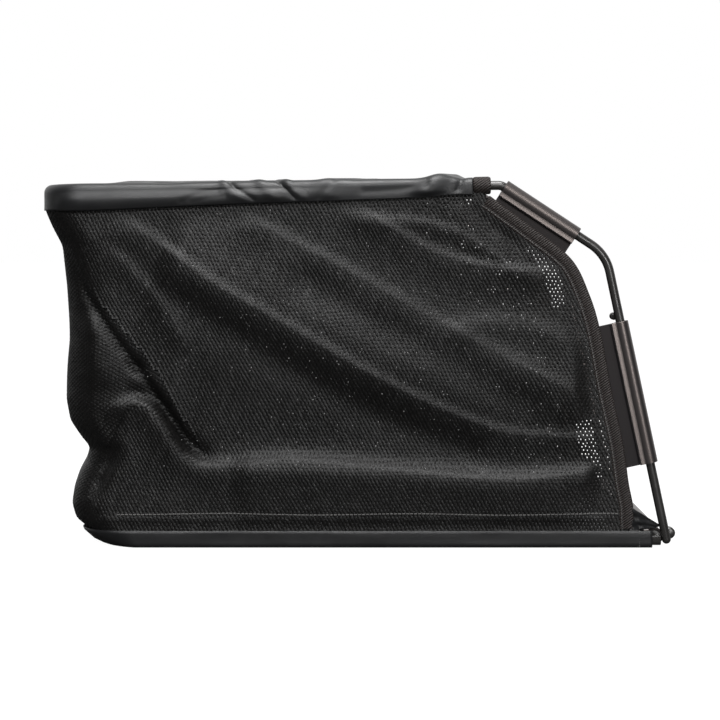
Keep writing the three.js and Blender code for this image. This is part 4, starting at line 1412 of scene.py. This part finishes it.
def white_world(scene):
    """A white backdrop behind the object, to the eye and in reflections, and a dim room in front."""
    world = bpy.data.worlds.new("studio")
    scene.world = world
    world.use_nodes = True
    tree = world.node_tree
    background = tree.nodes["Background"]
    background.inputs["Color"].default_value = (1, 1, 1, 1)
    path = add_node(tree, "ShaderNodeLightPath")
    coords = add_node(tree, "ShaderNodeTexCoord")
    apart = add_node(tree, "ShaderNodeSeparateXYZ")
    behind = add_node(tree, "ShaderNodeMapRange", **{"From Min": -0.1, "From Max": 0.5})
    mirror = add_node(tree, "ShaderNodeMath", operation="MAXIMUM")
    backdrop = add_node(tree, "ShaderNodeMath", operation="MULTIPLY")
    seen = add_node(tree, "ShaderNodeMath", operation="MAXIMUM")
    strength = add_node(tree, "ShaderNodeMix", data_type="FLOAT", A=ROOM_LIGHT, B=1.0)
    link = tree.links.new
    link(coords.outputs["Generated"], apart.inputs["Vector"])
    link(apart.outputs["Y"], behind.inputs["Value"])
    link(path.outputs["Is Glossy Ray"], mirror.inputs[0])
    link(path.outputs["Is Transmission Ray"], mirror.inputs[1])
    link(mirror.outputs["Value"], backdrop.inputs[0])
    link(behind.outputs["Result"], backdrop.inputs[1])
    link(path.outputs["Is Camera Ray"], seen.inputs[0])
    link(backdrop.outputs["Value"], seen.inputs[1])
    link(seen.outputs["Value"], strength.inputs["Factor"])
    link(strength.outputs["Result"], background.inputs["Strength"])


def pale_floor():
    """A floor that reads as white to the eye and keeps the object's shadow."""
    corners = [(x * FLOOR_HALF, y * FLOOR_HALF, 0) for x, y in ((-1, -1), (1, -1), (1, 1), (-1, 1))]
    mesh = bpy.data.meshes.new("floor")
    mesh.from_pydata(corners, [], [(0, 1, 2, 3)])
    floor = bpy.data.objects.new("floor", mesh)
    floor.location.z = -FLOOR_DROP
    bpy.context.scene.collection.objects.link(floor)
    material, tree, shader = new_material("pale_floor", FLOOR_COLOUR, 0.9)
    path = add_node(tree, "ShaderNodeLightPath")
    glow = add_node(tree, "ShaderNodeEmission", Strength=FLOOR_GLOW)
    clear = add_node(tree, "ShaderNodeBsdfTransparent", Color=(0, 0, 0, 1))
    pick = add_node(tree, "ShaderNodeMixShader")
    both = add_node(tree, "ShaderNodeAddShader")
    link = tree.links.new
    link(path.outputs["Is Camera Ray"], pick.inputs["Fac"])
    link(clear.outputs["BSDF"], pick.inputs[1])
    link(glow.outputs["Emission"], pick.inputs[2])
    link(shader.outputs["BSDF"], both.inputs[0])
    link(pick.outputs["Shader"], both.inputs[1])
    link(both.outputs["Shader"], tree.nodes["Material Output"].inputs["Surface"])
    mesh.materials.append(material)
    floor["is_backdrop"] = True


def soft_lamp(name, place, target, width, height, power):
    """A rectangular lamp that points from its place to its target."""
    lamp = bpy.data.lights.new(name, "AREA")
    lamp.shape = "RECTANGLE"
    lamp.size = width
    lamp.size_y = height
    lamp.energy = power
    piece = bpy.data.objects.new(name, lamp)
    piece.location = place
    piece.rotation_euler = (Vector(target) - Vector(place)).to_track_quat("-Z", "Y").to_euler()
    bpy.context.scene.collection.objects.link(piece)


STEPS = [
    BOX_OT_wires, BOX_OT_clips, BOX_OT_nets, BOX_OT_bindings, BOX_OT_coated, BOX_OT_stitches, BOX_OT_stage,
]


class BOX_PT_panel(bpy.types.Panel):
    """Lists the sizes, the colours and the build steps"""

    bl_idname = "BOX_PT_panel"
    bl_label = "Collection Box"
    bl_space_type = "VIEW_3D"
    bl_region_type = "UI"
    bl_category = "Collection Box"

    def draw(self, context):
        for group in (context.scene.box_sizes, context.scene.box_colours):
            for key in group.__annotations__:
                self.layout.prop(group, key)
        for step in STEPS:
            self.layout.operator(step.bl_idname)


CLASSES = [BoxSizes, BoxColours, *STEPS, BOX_PT_panel]


def register():
    for cls in CLASSES:
        bpy.utils.register_class(cls)
    bpy.types.Scene.box_sizes = PointerProperty(type=BoxSizes)
    bpy.types.Scene.box_colours = PointerProperty(type=BoxColours)


def unregister():
    del bpy.types.Scene.box_colours
    del bpy.types.Scene.box_sizes
    for cls in reversed(CLASSES):
        bpy.utils.unregister_class(cls)


def main():
    register()
    for step in STEPS:
        group, name = step.bl_idname.split(".")
        getattr(getattr(bpy.ops, group), name)()
    plain = lambda corners: [[float(v) for v in corner] for corner in corners]
    {"cad": plain(CAD_BOX), "visual": plain(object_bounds())}


if __name__ == "__main__":
    main()
